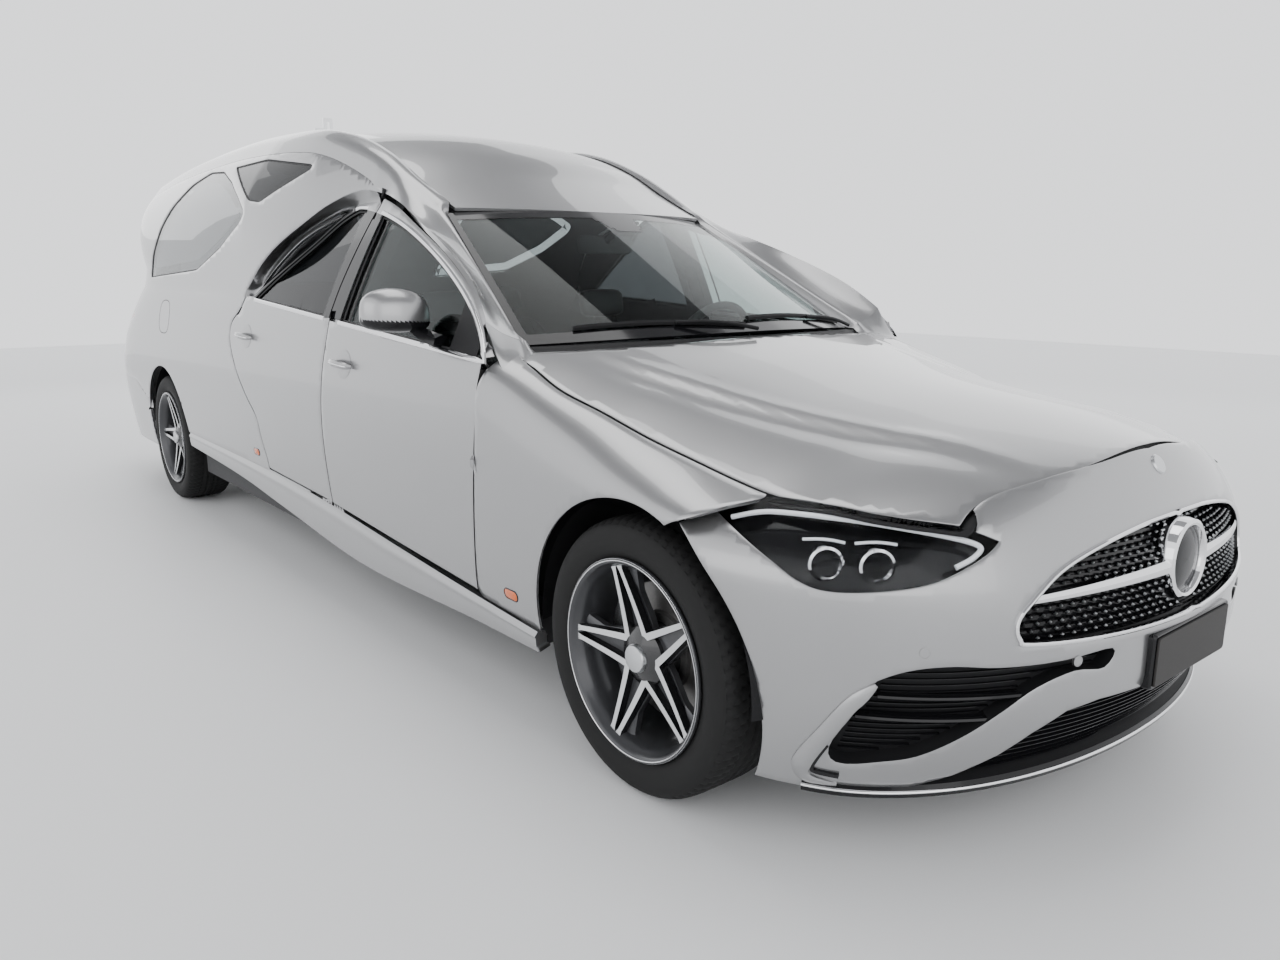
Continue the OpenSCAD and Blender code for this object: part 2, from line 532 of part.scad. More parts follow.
module rear_bumper() color("silver") difference() {
    plate(tail_grid([225, 300, 380, 460, 540, 625]), skin_t + 6);
    both() arch(rear_axle);
    both() across(-1100, -1) translate([0, seam]) difference() {
        translate([-3300, -100]) square([1400, 900]);
        translate([0, -seam * 2]) polygon(bumper_line);
    }
}
module tail_lamps() color("#8c1c1c") both() intersection() {
    plate(tail_grid([820, 880, 940, 1000]), 40, 1);
    fore(-3100, -2300) mirror([1, 0]) tail_lamp_area(-seam);
}
gate_zs = [620, 720, 820, 920, 1020, 1120, 1230, 1340, 1450, 1560, 1640, 1700];
gate_light = [[560, 1120], [520, 1400], [455, 1560], [0, 1580]];
module gate_light_area(grow = 0) offset(delta = grow) {
    polygon(concat([[0, 1108]], gate_light));
    mirror([1, 0]) polygon(concat([[0, 1108]], gate_light));
}
module tailgate() color("silver") difference() {
    union() {
        difference() {
            intersection() {
                plate(tail_grid(gate_zs), 36);
                fore(-3100, -2200) gate_area();
            }
            box([-2452, -700, 1620], [-2000, 700, 1800]);
            fore(-3100, -2200) gate_light_area();
        }
        plate(lip_grid, 12);
        both() {
            translate([gate_axis[0], -gate_axis[1] + 12, gate_axis[2]]) rotate([90, 0, 0]) cylinder(r = pin_r + 6, h = 24, $fn = 32);
            box([gate_axis[0] - 12, -gate_axis[1] - 12, gate_axis[2] - 82], [gate_axis[0] + 6, -gate_axis[1] + 12, gate_axis[2]]);
            box([gate_axis[0] - 75, -gate_axis[1] - 12, gate_axis[2] - 82], [gate_axis[0], -gate_axis[1] + 12, gate_axis[2] - 64]);
        }
    }
    both() translate([gate_axis[0], -gate_axis[1] + 40, gate_axis[2]]) rotate([90, 0, 0]) cylinder(r = pin_r + run, h = 80, $fn = 32);
}
module tailgate_glass() color("dimgray") intersection() {
    plate(tail_grid(gate_zs), 12 + glass_t, 12);
    fore(-3100, -2200) gate_light_area(-seam);
}

// ---- floor, posts and sills ----------------------------------------------------------------
floor_z = 205;
sill_y = 836;
post_y = 802;
module floor_pan() color("#3a3d40") {
    box([-2640, -560, floor_z], [1560, 560, floor_z + 15]);
    box([-1290, -sill_y, floor_z], [1560, sill_y, floor_z + 15]);
    both() box([-1290, -sill_y, floor_z], [1700, -660, 290]);
    both() box([-1290, -post_y, floor_z], [1700, -660, 330]);
    box([1545, -660, floor_z], [1560, 660, 900]);
    both() box([1550, -480, 250], [2710, -400, 340]);
    both() box([-2640, -560, floor_z], [-1290, -500, 420]);
    both() box([1545, -790, 320], [1640, -650, 640]);
    box([2700, -600, 250], [2760, 600, 420]);
    box([1980, -410, 290], [2040, 410, 330]);
}
module posts() color("#2c2f32") both() {
    box([1440, -post_y, 330.3], [1544.7, -740, 900]);
    box([385, -post_y, 330.3], [620, -745, 960]);
    intersection() {
        plate(door_grid(steps(500, 640, 2)), 74, frame_t + 6);
        box([540, -1000, 1036], [620, -300, 1440]);
    }
    box([540, -post_y, 900], [620, -745, 1046]);
    for (z = hinge_z, hx = [front_hinge_x, rear_hinge_x]) translate([hx, -hinge_y, z]) {
        cylinder(r = pin_r, h = 76, center = true, $fn = 32);
        for (k = [-1, 1]) translate([0, 0, k * 30]) {
            cylinder(r = pin_r + 2.5, h = 16, center = true, $fn = 32);
            translate([-8, 0, -8]) cube([16, hinge_y - post_y + 1, 16]);
        }
    }
}
// Upper edge of the skirts below the doors
skirt_x = steps(-1330, 1830, 8);
function skirt_top(x) = along([[-1330, 403], [-176, 392.7], [404, 372.7], [970, 334.7], [1479, 302.7], [1830, 284]], x);
module skirt_area(grow = 0) polygon(concat([for (x = skirt_x) [x, skirt_top(x) + grow]], [[1830, 0], [-1330, 0]]));
module above_skirts() across(-1100, -300) skirt_area(seam);
module side_skirts() color("silver") both() difference() {
    intersection() {
        plate([for (x = skirt_x) let(lo = along([[-1330, 338], [-564, 308], [0, 262], [700, 208], [1500, 228], [1830, 232]], x),
            hi = skirt_top(x) + 16)
            [for (k = steps(0, 1, 4)) [x, -(886 + 12 * sin(35 + 110 * k)), mix(lo, hi, k)]]], 62);
        across(-1100, -sill_y - 0.3) skirt_area();
    }
    arch(front_axle);
    arch(rear_axle);
    across(-1100, -300) door_area();
}

// Fixed halves of the bonnet's and the tailgate's hinges
module hinges() color("#2c2f32") both() {
    for (k = [0, 1]) box([1520, -672 + 54 * k, 907], [1560, -664 + 54 * k, 950]);
    box([1520, -672, 900.3], [1560, -610, 908]);
    translate([bonnet_hinge[0], -610, bonnet_hinge[2]]) rotate([90, 0, 0]) cylinder(r = pin_r, h = 62, $fn = 32);
    intersection() {
        plate(roof_grid, 60, 12.3);
        for (k = [-1, 1]) translate([gate_axis[0] - 10, -gate_axis[1] + 20 * k - 5, gate_axis[2] - 12]) cube([24, 10, 60]);
    }
    translate([gate_axis[0], -gate_axis[1] + 25, gate_axis[2]]) rotate([90, 0, 0]) cylinder(r = pin_r, h = 50, $fn = 32);
}

// ---- cabin and load space ------------------------------------------------------------------
module dashboard() color("#1d1e20") {
    difference() {
        across(-739.7, 739.7) polygon([[1300, 925], [1130, 900], [1090, 850], [1120, 760], [1230, 700], [1500, 690],
            [1500, 940], [1460, 950]]);
        translate(wheel_hub) rotate([0, 115, 0]) cylinder(r = 16 + run, h = 140, $fn = 32);
    }
    box([420, -110, floor_z + 15.3], [1230, 110, 480]);
}
module seat(x, y, w) translate([x, y, 0]) {
    translate([0, -w / 2 + 20, floor_z + 15.3]) cube([440, w - 40, 150]);
    across(-w / 2, w / 2) offset(r = 30, $fn = 16) polygon([[-20, 400], [440, 400], [470, 430], [-10, 450]]);
    across(-w / 2 + 20, w / 2 - 20) offset(r = 30, $fn = 16) polygon([[-40, 410], [-40, 450], [-180, 980], [-230, 980], [-120, 410]]);
    across(-110, 110) offset(r = 20, $fn = 16) polygon([[-200, 990], [-200, 1120], [-250, 1120], [-250, 990]]);
}
module front_seats() color("#26272a") for (y = [-370, 370]) seat(620, y, 500);
module rear_seats() color("#26272a") for (y = [-370, 370]) seat(-200, y, 500);
module load_deck() color("#b9b2a4") {
    box([-2600, -600, 600], [-480, 600, 620]);
    for (y = [-520, -180, 180, 520]) box([-2580, y - 12, 620], [-500, y + 12, 634]);
    both() box([-2600, -600, 420.3], [-2560, -500, 600]);
    both() box([-540, -600, floor_z + 15.3], [-480, -540, 600]);
}
module engine() color("#55585c") box([1720, -260, 330.3], [2420, 260, 780]);
module cross_area() {
    translate([-22, 0]) square([44, 210]);
    translate([-72, 110]) square([144, 44]);
}
module roof_cross() color("silver") difference() {
    translate([-1540, 0, 1776]) rotate([90, 0, 90]) linear_extrude(10, center = true) difference() {
        cross_area();
        offset(delta = -9) cross_area();
    }
    plate(roof_grid, 60, -seam);
}
module marker(x, z) across(-1100, -300) translate([x, z]) hull() for (k = [-18, 18]) translate([k, 0]) circle(r = 13, $fn = 24);
module side_markers() color("orange") both() {
    intersection() {
        plate(wing_grid, -seam, -8);
        marker(1660, 352);
    }
    intersection() {
        plate(coach_grid, -seam, -8);
        marker(-300, 456);
    }
}

// ---- running gear --------------------------------------------------------------------------
king_y = 720;
king_r = 11;
inner_wall = track_half - tyre_w;
module subframes() color("#404346") both() {
    for (z = [hub_z - 150, hub_z + 160]) translate([front_axle, 0, z]) {
        box([-18, -king_y - 12, -10], [18, -440, 10]);
    }
    box([front_axle - 25, -480.3 - 40, hub_z - 160], [front_axle + 25, -480.3, hub_z + 170]);
    box([front_axle - 25, -480.3, hub_z - 160], [front_axle + 25, 0, hub_z - 140]);
    for (z = [hub_z - 150, hub_z + 120]) translate([front_axle, -king_y, z]) cylinder(r = king_r, h = 50, $fn = 48);
    // rear axle: beam, hub carrier, stub shaft and caliper
    box([rear_axle - 35, -inner_wall - 28, hub_z - 40], [rear_axle + 35, -560.3, hub_z + 40]);
    translate([rear_axle, -inner_wall - 27, hub_z]) rotate([90, 0, 0]) cylinder(r = axle_r, h = 150, $fn = 64);
}
// Wheel parts are drawn about their own axis, +Z outward
module rim_shape() {
    difference() {
        union() {
            rotate_extrude($fn = 96) polygon([[216, 8], [216, 205], [222, 222], [rim_r, 222], [rim_r, 214], [227, 208],
                [227, 16], [rim_r, 10], [rim_r, 2], [220, 2]]);
            translate([0, 0, 98]) cylinder(r = 66, h = 104, $fn = 64);
            translate([0, 0, 78]) cylinder(r = 152, h = 22, $fn = 64);
            translate([0, 0, 180]) linear_extrude(26) spoke_face();
        }
        translate([0, 0, 60]) cylinder(r = axle_r + run, h = 122, $fn = 64);
    }
}
module spoke_face() for (i = [0 : spokes - 1], k = [-1, 1]) rotate(i * 360 / spokes + 90)
    polygon([[40, k * 8], [60, k * 34], [221, k * 52], [221, k * 26], [80, k * 6]]);
module tyre_shape() rotate_extrude($fn = 96) polygon([[227.3, 20], [227.3, 205], [tyre_r - 62, tyre_w - 1], [tyre_r - 40, tyre_w],
    [tyre_r - 16, tyre_w - 8], [tyre_r - 3, tyre_w - 26], [tyre_r, tyre_w - 60], [tyre_r, 60], [tyre_r - 3, 26],
    [tyre_r - 16, 8], [tyre_r - 40, 0], [tyre_r - 62, 1]]);
module wheel_place(x) translate([x, -inner_wall, hub_z]) rotate([90, 0, 0]) children();
module front_rim_right() color("#3c3f42") wheel_place(front_axle) rim_shape();
module front_rim_left() color("#3c3f42") mirror([0, 1, 0]) wheel_place(front_axle) rim_shape();
module rear_rim_right() color("#3c3f42") wheel_place(rear_axle) rim_shape();
module rear_rim_left() color("#3c3f42") mirror([0, 1, 0]) wheel_place(rear_axle) rim_shape();
module front_tyre_right() color("#1a1a1a") wheel_place(front_axle) tyre_shape();
module front_tyre_left() color("#1a1a1a") mirror([0, 1, 0]) wheel_place(front_axle) tyre_shape();
module rear_tyre_right() color("#1a1a1a") wheel_place(rear_axle) tyre_shape();
module rear_tyre_left() color("#1a1a1a") mirror([0, 1, 0]) wheel_place(rear_axle) tyre_shape();
module knuckle() {
    difference() {
        union() {
            translate([front_axle, -king_y, hub_z - 139]) cylinder(r = 22, h = 288, $fn = 48);
            translate([front_axle, -inner_wall - 26, hub_z]) rotate([90, 0, 0]) cylinder(r = 34, h = 50, $fn = 48);
        }
        translate([front_axle, -king_y, hub_z - 150]) cylinder(r = king_r + run, h = 61, $fn = 48);
        translate([front_axle, -king_y, hub_z + 110]) cylinder(r = king_r + run, h = 61, $fn = 48);
    }
    translate([front_axle, -inner_wall - 60, hub_z]) rotate([90, 0, 0]) cylinder(r = axle_r, h = 117, $fn = 64);
}
module knuckle_right() color("#4a4d50") knuckle();
module knuckle_left() color("#4a4d50") mirror([0, 1, 0]) knuckle();
wheel_hub = [1075, 370, 905];
module steering_wheel() color("#1b1b1d") translate(wheel_hub) rotate([0, 115, 0]) {
    rotate_extrude($fn = 48) translate([180, 0]) circle(r = 15, $fn = 24);
    translate([0, 0, -10]) cylinder(r = 60, h = 30, $fn = 48);
    for (a = [90, 0, -90]) rotate(a) translate([50, -16, -6]) cube([120, 32, 14]);
    translate([0, 0, 19]) cylinder(r = 16, h = 100, $fn = 32);
}

floor_pan();
posts();
side_skirts();
front_wings();
front_bumper();
front_grille();
bumper_inserts();
headlamps();
windscreen();
cowl();
roof_rails();
roof_panel();
coach_sides();
coach_windows();
rear_bumper();
tail_lamps();
roof_cross();
side_markers();
dashboard();
front_seats();
rear_seats();
load_deck();
engine();
subframes();
hinges();
bonnet();
tailgate();
tailgate_glass();
front_door_right();
front_door_left();
rear_door_right();
rear_door_left();
front_glass_right();
front_glass_left();
rear_glass_right();
rear_glass_left();
mirror_right();
mirror_left();
knuckle_right();
knuckle_left();
steering_wheel();
front_rim_right();
front_rim_left();
rear_rim_right();
rear_rim_left();
front_tyre_right();
front_tyre_left();
rear_tyre_right();
rear_tyre_left();
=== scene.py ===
import math
import bmesh
import bpy
import numpy as np
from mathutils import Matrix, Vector
from mathutils.geometry import delaunay_2d_cdt


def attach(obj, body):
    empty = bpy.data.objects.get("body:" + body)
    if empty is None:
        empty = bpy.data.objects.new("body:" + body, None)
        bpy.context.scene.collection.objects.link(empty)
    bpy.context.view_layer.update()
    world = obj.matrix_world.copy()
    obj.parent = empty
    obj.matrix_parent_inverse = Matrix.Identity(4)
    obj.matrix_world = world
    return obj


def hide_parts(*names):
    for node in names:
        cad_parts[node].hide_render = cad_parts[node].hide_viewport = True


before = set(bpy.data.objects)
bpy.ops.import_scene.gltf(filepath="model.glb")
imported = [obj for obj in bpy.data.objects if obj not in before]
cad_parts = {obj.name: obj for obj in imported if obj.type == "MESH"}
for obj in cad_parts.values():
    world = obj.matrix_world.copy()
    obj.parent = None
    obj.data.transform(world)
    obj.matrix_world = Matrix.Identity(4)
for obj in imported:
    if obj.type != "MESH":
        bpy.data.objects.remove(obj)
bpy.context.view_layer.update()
print("frame loaded")

# camera: standing off the right front corner, looking back and a little down
cam = bpy.data.objects.new("camera", bpy.data.cameras.new("camera"))
bpy.context.collection.objects.link(cam)
cam.data.lens = 27.32
cam.data.sensor_width = 36
cam.location = (3.7802, -2.1857, 1.1976)
cam.rotation_euler = (math.radians(90 - 12.21), math.radians(-0.11), math.radians(140.70 - 90))
bpy.context.scene.camera = cam


# curves and surfaces of the body, in millimetres
def soft(u, k):  # half of u plus its length with k: a ramp with a rounded start
    return (u + np.sqrt(u * u + k * k)) / 2


def turn(n):  # n angles round a full circle
    return np.linspace(0, 2 * np.pi, n, endpoint=False)


def cols(*parts):  # arrays side by side, as the last axis
    return np.stack(parts, -1)


def mix(a, b, t):
    return a + (b - a) * t


def clamp(t):
    return np.clip(t, 0, 1)


def along(points, x):  # cubic through a few points, its slopes taken from the neighbours
    px, py = np.array(points, float).T
    m = np.empty(len(px))
    m[1:-1] = (py[2:] - py[:-2]) / (px[2:] - px[:-2])
    m[0], m[-1] = (py[1] - py[0]) / (px[1] - px[0]), (py[-1] - py[-2]) / (px[-1] - px[-2])
    x = np.asarray(x, float)
    i = np.clip(np.searchsorted(px, x, side="right") - 1, 0, len(px) - 2)
    h = px[i + 1] - px[i]
    t = (x - px[i]) / h
    return (py[i] * (1 + 2 * t) * (1 - t) ** 2 + h * m[i] * t * (1 - t) ** 2
            + py[i + 1] * t * t * (3 - 2 * t) + h * m[i + 1] * t * t * (t - 1))


def between(a, b, c, d, t):  # Catmull-Rom from b to c
    return b + (c - a) * t / 2 + (2 * a - 5 * b + 4 * c - d) * t * t / 2 + (3 * b - a - 3 * c + d) * t ** 3 / 2


def curve(points, n=8, loop=False):  # Catmull-Rom line through the points, n steps between each pair
    p = np.array(points, float)
    k = len(p)
    seg = np.arange(k if loop else k - 1)
    pick = (lambda i: p[i % k]) if loop else (lambda i: p[np.clip(i, 0, k - 1)])
    a, b, c, d = (pick(seg + s)[:, None] for s in (-1, 0, 1, 2))
    t = (np.arange(n) / n)[None, :, None]
    q = between(a, b, c, d, t).reshape(-1, p.shape[1])
    return q if loop else np.vstack([q, p[-1:]])


body = dict(halfWidth=910, waistZ=680, frontAxle=2160, rearAxle=-1700, hubZ=328, archR=378, railY=610, shut=7)


def belt(x):
    return 1112 - 0.07 * soft(x + 660, 200)


def fall(z):  # how far the side falls in above and below the waist, as the square of the distance from it
    w = body["waistZ"]
    return 40 * ((z - w) / np.where(z > w, 350, 480)) ** 2


def beltY(x):
    return body["halfWidth"] - fall(belt(x))


def doorY(x, z):
    d = soft(z - belt(x), 8)
    return np.where(z > belt(x), beltY(x) - 0.42 * d - 0.00022 * d * d, body["halfWidth"] - fall(z))


railLine = [[-2480, 1664], [-1740, 1730], [-940, 1757], [-440, 1750], [-90, 1730], [120, 1690], [370, 1607],
            [590, 1505], [810, 1385], [1460, 1030]]


def railZ(x):
    return along(railLine, x)


def coachY(x, z):
    t = clamp((z - belt(x)) / (railZ(x) - belt(x)))
    bulge = 1 + 2.4 * clamp((400 - x) / 850) ** 1.3
    return np.where(z > belt(x), body["railY"] + (beltY(x) - body["railY"]) * (1 - t ** bulge),
                    body["halfWidth"] - fall(z))


def noseW(z):
    w = body["halfWidth"] - np.where(z < body["waistZ"], fall(z), 0) - 0.0059 * soft(z - 600, 30) ** 2
    return np.maximum(w, 30)


def lean(z):
    return 107 * (soft(z - 450, 60) / 336) ** 2 + 80 * np.maximum(0, (380 - z) / 190) ** 1.5


# t from 0 at the side to 1 at the middle; a super-ellipse in plan that leans back with height
def noseAt(t, z):
    a = np.radians(90 * np.clip(t, 0, 1) ** 1.6)
    u, w = np.sin(a) ** (2 / 3), np.maximum(np.cos(a), 0) ** 0.988
    return cols(2200 + (800 - lean(z)) * u, -noseW(z) * w, z + 0 * t)


def taperX(z):
    return along([[200, -2200], [700, -2200], [1150, -1520], [1400, -1620], [1720, -2060]], z)


def tailEnd(z):
    return along([[200, -2950], [600, -3000], [780, -3000], [900, -2980], [1020, -2890], [1200, -2720],
                  [1450, -2585], [1660, -2500], [1760, -2465]], z)


def tailN(z):
    return mix(4.5, 12, clamp((z - 1200) / 450))


def drawn(u, z):
    return (1 - clamp(u) ** tailN(z)) ** 0.46


sideStart, tailSpan = 560, 1500


def flank(z):  # length of the side from its start back to the taper
    return sideStart - taperX(z)


def sideAt(s, z):  # s counts millimetres from sideStart back to the taper, then tailSpan units round the tail
    x0, x1 = taperX(z), tailEnd(z)
    u = np.sin(clamp((s - flank(z)) / tailSpan) * np.pi / 2)
    x = np.where(s < flank(z), sideStart - s, x0 + (x1 - x0) * u)
    return cols(x, -coachY(x, z) * drawn(u, z), z + 0 * s)


def sideS(x, z):  # the s of a point given in side view
    x0, x1 = taperX(z), tailEnd(z)
    u = clamp((x - x0) / (x1 - x0))
    return np.where(x > x0, sideStart - x, flank(z) + tailSpan * np.arcsin(u) * 2 / np.pi)


def solve(f, lo, hi, n=40):  # halves the span n times where f rises from below zero to above it
    lo, hi = np.array(lo, float), np.array(hi, float)
    for _ in range(n):
        m = (lo + hi) / 2
        up = f(m) > 0
        lo, hi = np.where(up, lo, m), np.where(up, m, hi)
    return (lo + hi) / 2


def noseT(c, z, axis):  # the t of a nose point whose x, half width or corner distance is given
    read = {"x": lambda p: p[..., 0], "y": lambda p: p[..., 1],
            "s": lambda p: (p[..., 0] + p[..., 1]) / math.sqrt(2)}
    return solve(lambda t: read[axis](noseAt(t, z)) - c, 0 * c, 0 * c + 1)


# outlines shared by the panels
dlo = [[1530, 968], [1460, 1038], [1332, 1120], [1108, 1219], [831, 1314], [593, 1374], [396, 1404],
       [155, 1398], [-99, 1330], [-253, 1235], [-341, 1146], [-363, 1086]]
brow = [[1560, 985], [1480, 1068], [1350, 1158], [1120, 1258], [840, 1356], [648, 1420], [450, 1466],
        [333, 1470], [199, 1430], [43, 1345], [-202, 1225], [-412, 1113]]
rearEdge = [[-412, 1113], [-474, 1035], [-558, 977], [-564, 900], [-475, 781], [-350, 675], [-258, 607],
            [-218, 516], [-184, 440]]
frontEdge = [[1482, 360], [1500, 499], [1518, 670], [1527, 807], [1527, 900], [1548, 975], [1560, 985]]
doorBottom = [[-176, 400], [404, 380], [970, 342], [1479, 310]]
splitLine = [[290, 478], [540, 466], [680, 462], [820, 468], [1000, 482], [1150, 470], [1500, 462]]
bumperSeam = [[2180, 100], [2225, 600], [2274, 665], [2324, 691], [2373, 711], [2412, 731], [2479, 755]]
lampTop = [[1091, 713], [1139, 730], [1219, 749], [1352, 746], [1444, 735], [1560, 719], [1633, 694]]
lampLow = [[1633, 694], [1608, 674], [1560, 650], [1493, 626], [1401, 612], [1308, 607], [1255, 619],
           [1199, 651], [1091, 713]]
grilleHalf = [[0, 695], [150, 690], [307, 668], [425, 634], [505, 580], [534, 545], [530, 510], [500, 496],
              [285, 486], [0, 480]]
intakeHalf = [[300, 462], [431, 458], [560, 460], [640, 468], [700, 463], [742, 444], [759, 418], [785, 300],
              [769, 245], [711, 255], [664, 270], [609, 312], [548, 368], [484, 410], [400, 432], [320, 425]]
lowerHalf = [[0, 350], [320, 355], [400, 345], [463, 303], [512, 255], [577, 210], [640, 185], [300, 186],
             [0, 190]]
rearLight = [[-1126, 1191], [-2002, 1151], [-1905, 1270], [-1760, 1400], [-1615, 1500], [-1400, 1600],
             [-1184, 1642], [-950, 1628], [-738, 1568], [-560, 1490], [-440, 1425], [-482, 1385], [-751,
                     1285]]
upperLight = [[-800, 1636], [-422, 1640], [-10, 1590], [0, 1572], [-94, 1535], [-310, 1458], [-420, 1470],
              [-620, 1560]]
bumperLine = [[-2060, 0], [-2060, 500], [-2300, 590], [-2700, 625], [-3200, 625], [-3200, 0]]
gateHalf = [[0, 636], [590, 636], [650, 760], [655, 1000], [645, 1180], [605, 1380], [560, 1530],
            [500, 1610], [440, 1660],
            [0, 1690]]
gateLight = [[0, 1108], [560, 1120], [520, 1400], [455, 1560], [0, 1580]]
tailLamp = [[672, 850], [880, 865], [880, 955], [672, 968]]


def dense(p, step=12, loop=True):  # the same outline with a point at least every step
    p = np.array(p, float)
    q = np.vstack([p, p[:1]]) if loop else p
    d = np.hypot(*(q[1:] - q[:-1]).T)
    n = np.maximum(1, np.ceil(d / step)).astype(int)
    t = np.concatenate([np.arange(k) / k for k in n])
    i = np.repeat(np.arange(len(n)), n)
    r = q[i] + (q[i + 1] - q[i]) * t[:, None]
    return r if loop else np.vstack([r, q[-1:]])


def rounded(p, r, step=8):  # outline with its corners eased: each point averaged over r along the line
    q = dense(p, step)
    n = max(1, int(r / step))
    w = np.hanning(2 * n + 1)[1:-1]
    w = w / w.sum()
    k = (len(w) - 1) // 2
    e = np.vstack([q[-k:], q, q[:k]]) if k else q
    return np.stack([np.convolve(e[:, c], w, "valid") for c in (0, 1)], -1)


def area(p):
    x, y = p[:, 0], p[:, 1]
    return 0.5 * np.sum(x * np.roll(y, -1) - y * np.roll(x, -1))


def grown(p, d):  # outline moved out by d along the mean normal of its neighbours
    p = np.array(p, float)
    e = np.roll(p, -1, 0) - p
    n = cols(e[:, 1], -e[:, 0]) / np.maximum(np.hypot(*e.T), 1e-9)[:, None]
    n = n + np.roll(n, 1, 0)
    n /= np.maximum(np.sum(n * n, 1), 0.6)[:, None] / 2
    return p + n * d * np.sign(area(p))


def inside(poly, p):  # even-odd count of crossings, for whole arrays of points
    a, b = np.array(poly, float), np.roll(np.array(poly, float), -1, 0)
    x, y = p[:, 0][:, None], p[:, 1][:, None]
    cross = (a[:, 1] > y) != (b[:, 1] > y)
    at = a[:, 0] + (y - a[:, 1]) * (b[:, 0] - a[:, 0]) / np.where(a[:, 1] == b[:, 1], 1e-9, b[:, 1] - a[:, 1])
    return np.sum(cross & (x < at), 1) % 2 == 1


def mirrored(half):  # full outline from its right half
    h = np.array(half, float)
    return np.vstack([h, (h * [-1, 1])[::-1]])


doorArea = np.vstack([curve(frontEdge)[:-1], curve(brow)[:-1], curve(rearEdge), np.array(doorBottom, float)])


# meshes
def normals(p, f):
    n = np.zeros_like(p)
    c = np.cross(p[f[:, 1]] - p[f[:, 0]], p[f[:, 2]] - p[f[:, 0]])
    for k in range(f.shape[1]):
        np.add.at(n, f[:, k], c)
    return n / np.maximum(np.linalg.norm(n, axis=1), 1e-9)[:, None]


def fromMiddle(m):  # points as seen from the car's long axis
    return m - cols(np.clip(m[:, 0], -1900, 1900), 0 * m[:, 0], 0 * m[:, 0] + 760)


def outward(p, f):  # faces turned so that they look away from the car's long axis
    c = np.cross(p[f[:, 1]] - p[f[:, 0]], p[f[:, 2]] - p[f[:, 0]])
    return f if np.sum(c * fromMiddle(p[f].mean(1))) > 0 else f[:, ::-1]


# triangles of the surface space(u, v) inside its lines, its outer edge eased inwards
def skin(space, spans, step, lines, keep, edge=2.2, drop=1.4):
    (u0, u1), (v0, v1) = spans
    du, dv = step if isinstance(step, tuple) else (step, step)
    gu, gv = np.meshgrid(np.arange(u0, u1 + du, du), np.arange(v0, v1 + dv, dv))
    g = cols(gu.ravel(), gv.ravel()).astype(float)
    g[:, 0] += np.where((np.round((g[:, 1] - v0) / dv) % 2) == 1, du / 2, 0)
    segs, pts, edges, at = [], [], [], 0
    scale = np.array([1 / du, 1 / dv])
    for q, loop in lines:
        q = np.array(q, float)
        n = len(q)
        pts.append(q)
        i = np.arange(n if loop else n - 1)
        edges += cols(at + i, at + (i + 1) % n).tolist()
        at += n
        segs.append((q[i] * scale, q[(i + 1) % n] * scale))
    a, b = np.vstack([s[0] for s in segs]), np.vstack([s[1] for s in segs])
    near = np.full(len(g), 9.0)
    for k in range(0, len(a), 64):
        p, d = (g * scale)[:, None], (b - a)[k:k + 64][None]
        t = clamp(np.sum((p - a[k:k + 64]) * d, -1) / np.maximum(np.sum(d * d, -1), 1e-12))
        near = np.minimum(near, np.min(np.linalg.norm(p - a[k:k + 64] - t[..., None] * d, axis=-1), 1))
    g = g[near > 0.42]
    allPts = np.vstack(pts + [g])
    r = delaunay_2d_cdt((allPts * scale).tolist(), edges, [], 0, 1e-5)
    uv = np.array([tuple(v) for v in r[0]]) / scale
    tri = np.array([f for f in r[2] if len(f) == 3])
    mid = uv[tri].mean(1)
    tri = tri[keep(space(mid[:, 0], mid[:, 1]), mid)]
    use, tri = np.unique(tri, return_inverse=True)
    p, tri = space(uv[use, 0], uv[use, 1]), tri.reshape(-1, 3)
    tri = outward(p, tri)
    if edge:
        bm = bmesh.new()
        mesh = bpy.data.meshes.new("work")
        mesh.from_pydata(p.tolist(), [], tri.tolist())
        bm.from_mesh(mesh)
        bmesh.ops.inset_region(bm, faces=bm.faces[:], thickness=edge, use_boundary=True, use_even_offset=True)
        bmesh.ops.triangulate(bm, faces=bm.faces[:])
        bm.to_mesh(mesh)
        bm.free()
        p = np.empty(len(mesh.vertices) * 3)
        mesh.vertices.foreach_get("co", p)
        p = p.reshape(-1, 3)
        tri = np.empty(len(mesh.polygons) * 3, int)
        mesh.polygons.foreach_get("vertices", tri)
        tri = tri.reshape(-1, 3)
        bpy.data.meshes.remove(mesh)
        p = p - normals(p, tri) * np.isin(np.arange(len(p)), rim(tri)[:, 0])[:, None] * drop
    return p, tri


def rim(tri):  # directed edges that only one triangle uses
    e = np.vstack([tri[:, [0, 1]], tri[:, [1, 2]], tri[:, [2, 0]]])
    k = np.sort(e, 1)
    _, i, c = np.unique(k, axis=0, return_index=True, return_counts=True)
    return e[i[c == 1]]


def shell(p, tri, deep):  # the skin, a copy deep millimetres inside it, and a band that joins their edges
    n = normals(p, tri)
    deep = deep(p) if callable(deep) else deep
    q = p - n * (deep[:, None] if np.ndim(deep) else deep)
    e, k = rim(tri), len(p)
    band = np.vstack([cols(e[:, 1], e[:, 0], e[:, 0] + k), cols(e[:, 1], e[:, 0] + k, e[:, 1] + k)])
    return np.vstack([p, q]), [tri, band, tri[:, ::-1] + k]


def sunk(made, deep, thick):  # a sheet that lies deep millimetres inside the surface
    p, f = made
    return shell(p - normals(p, f) * deep, f, thick)


def join(parts):  # several (points, faces) into one
    at, ps, fs = 0, [], []
    for p, f in parts:
        ps.append(p)
        fs += [x + at for x in (f if isinstance(f, list) else [f])]
        at += len(p)
    return np.vstack(ps), fs


def split(p, f, mask):  # faces in two lists, by where their middles lie
    m = mask(p[f].mean(1))
    return f[~m], f[m]


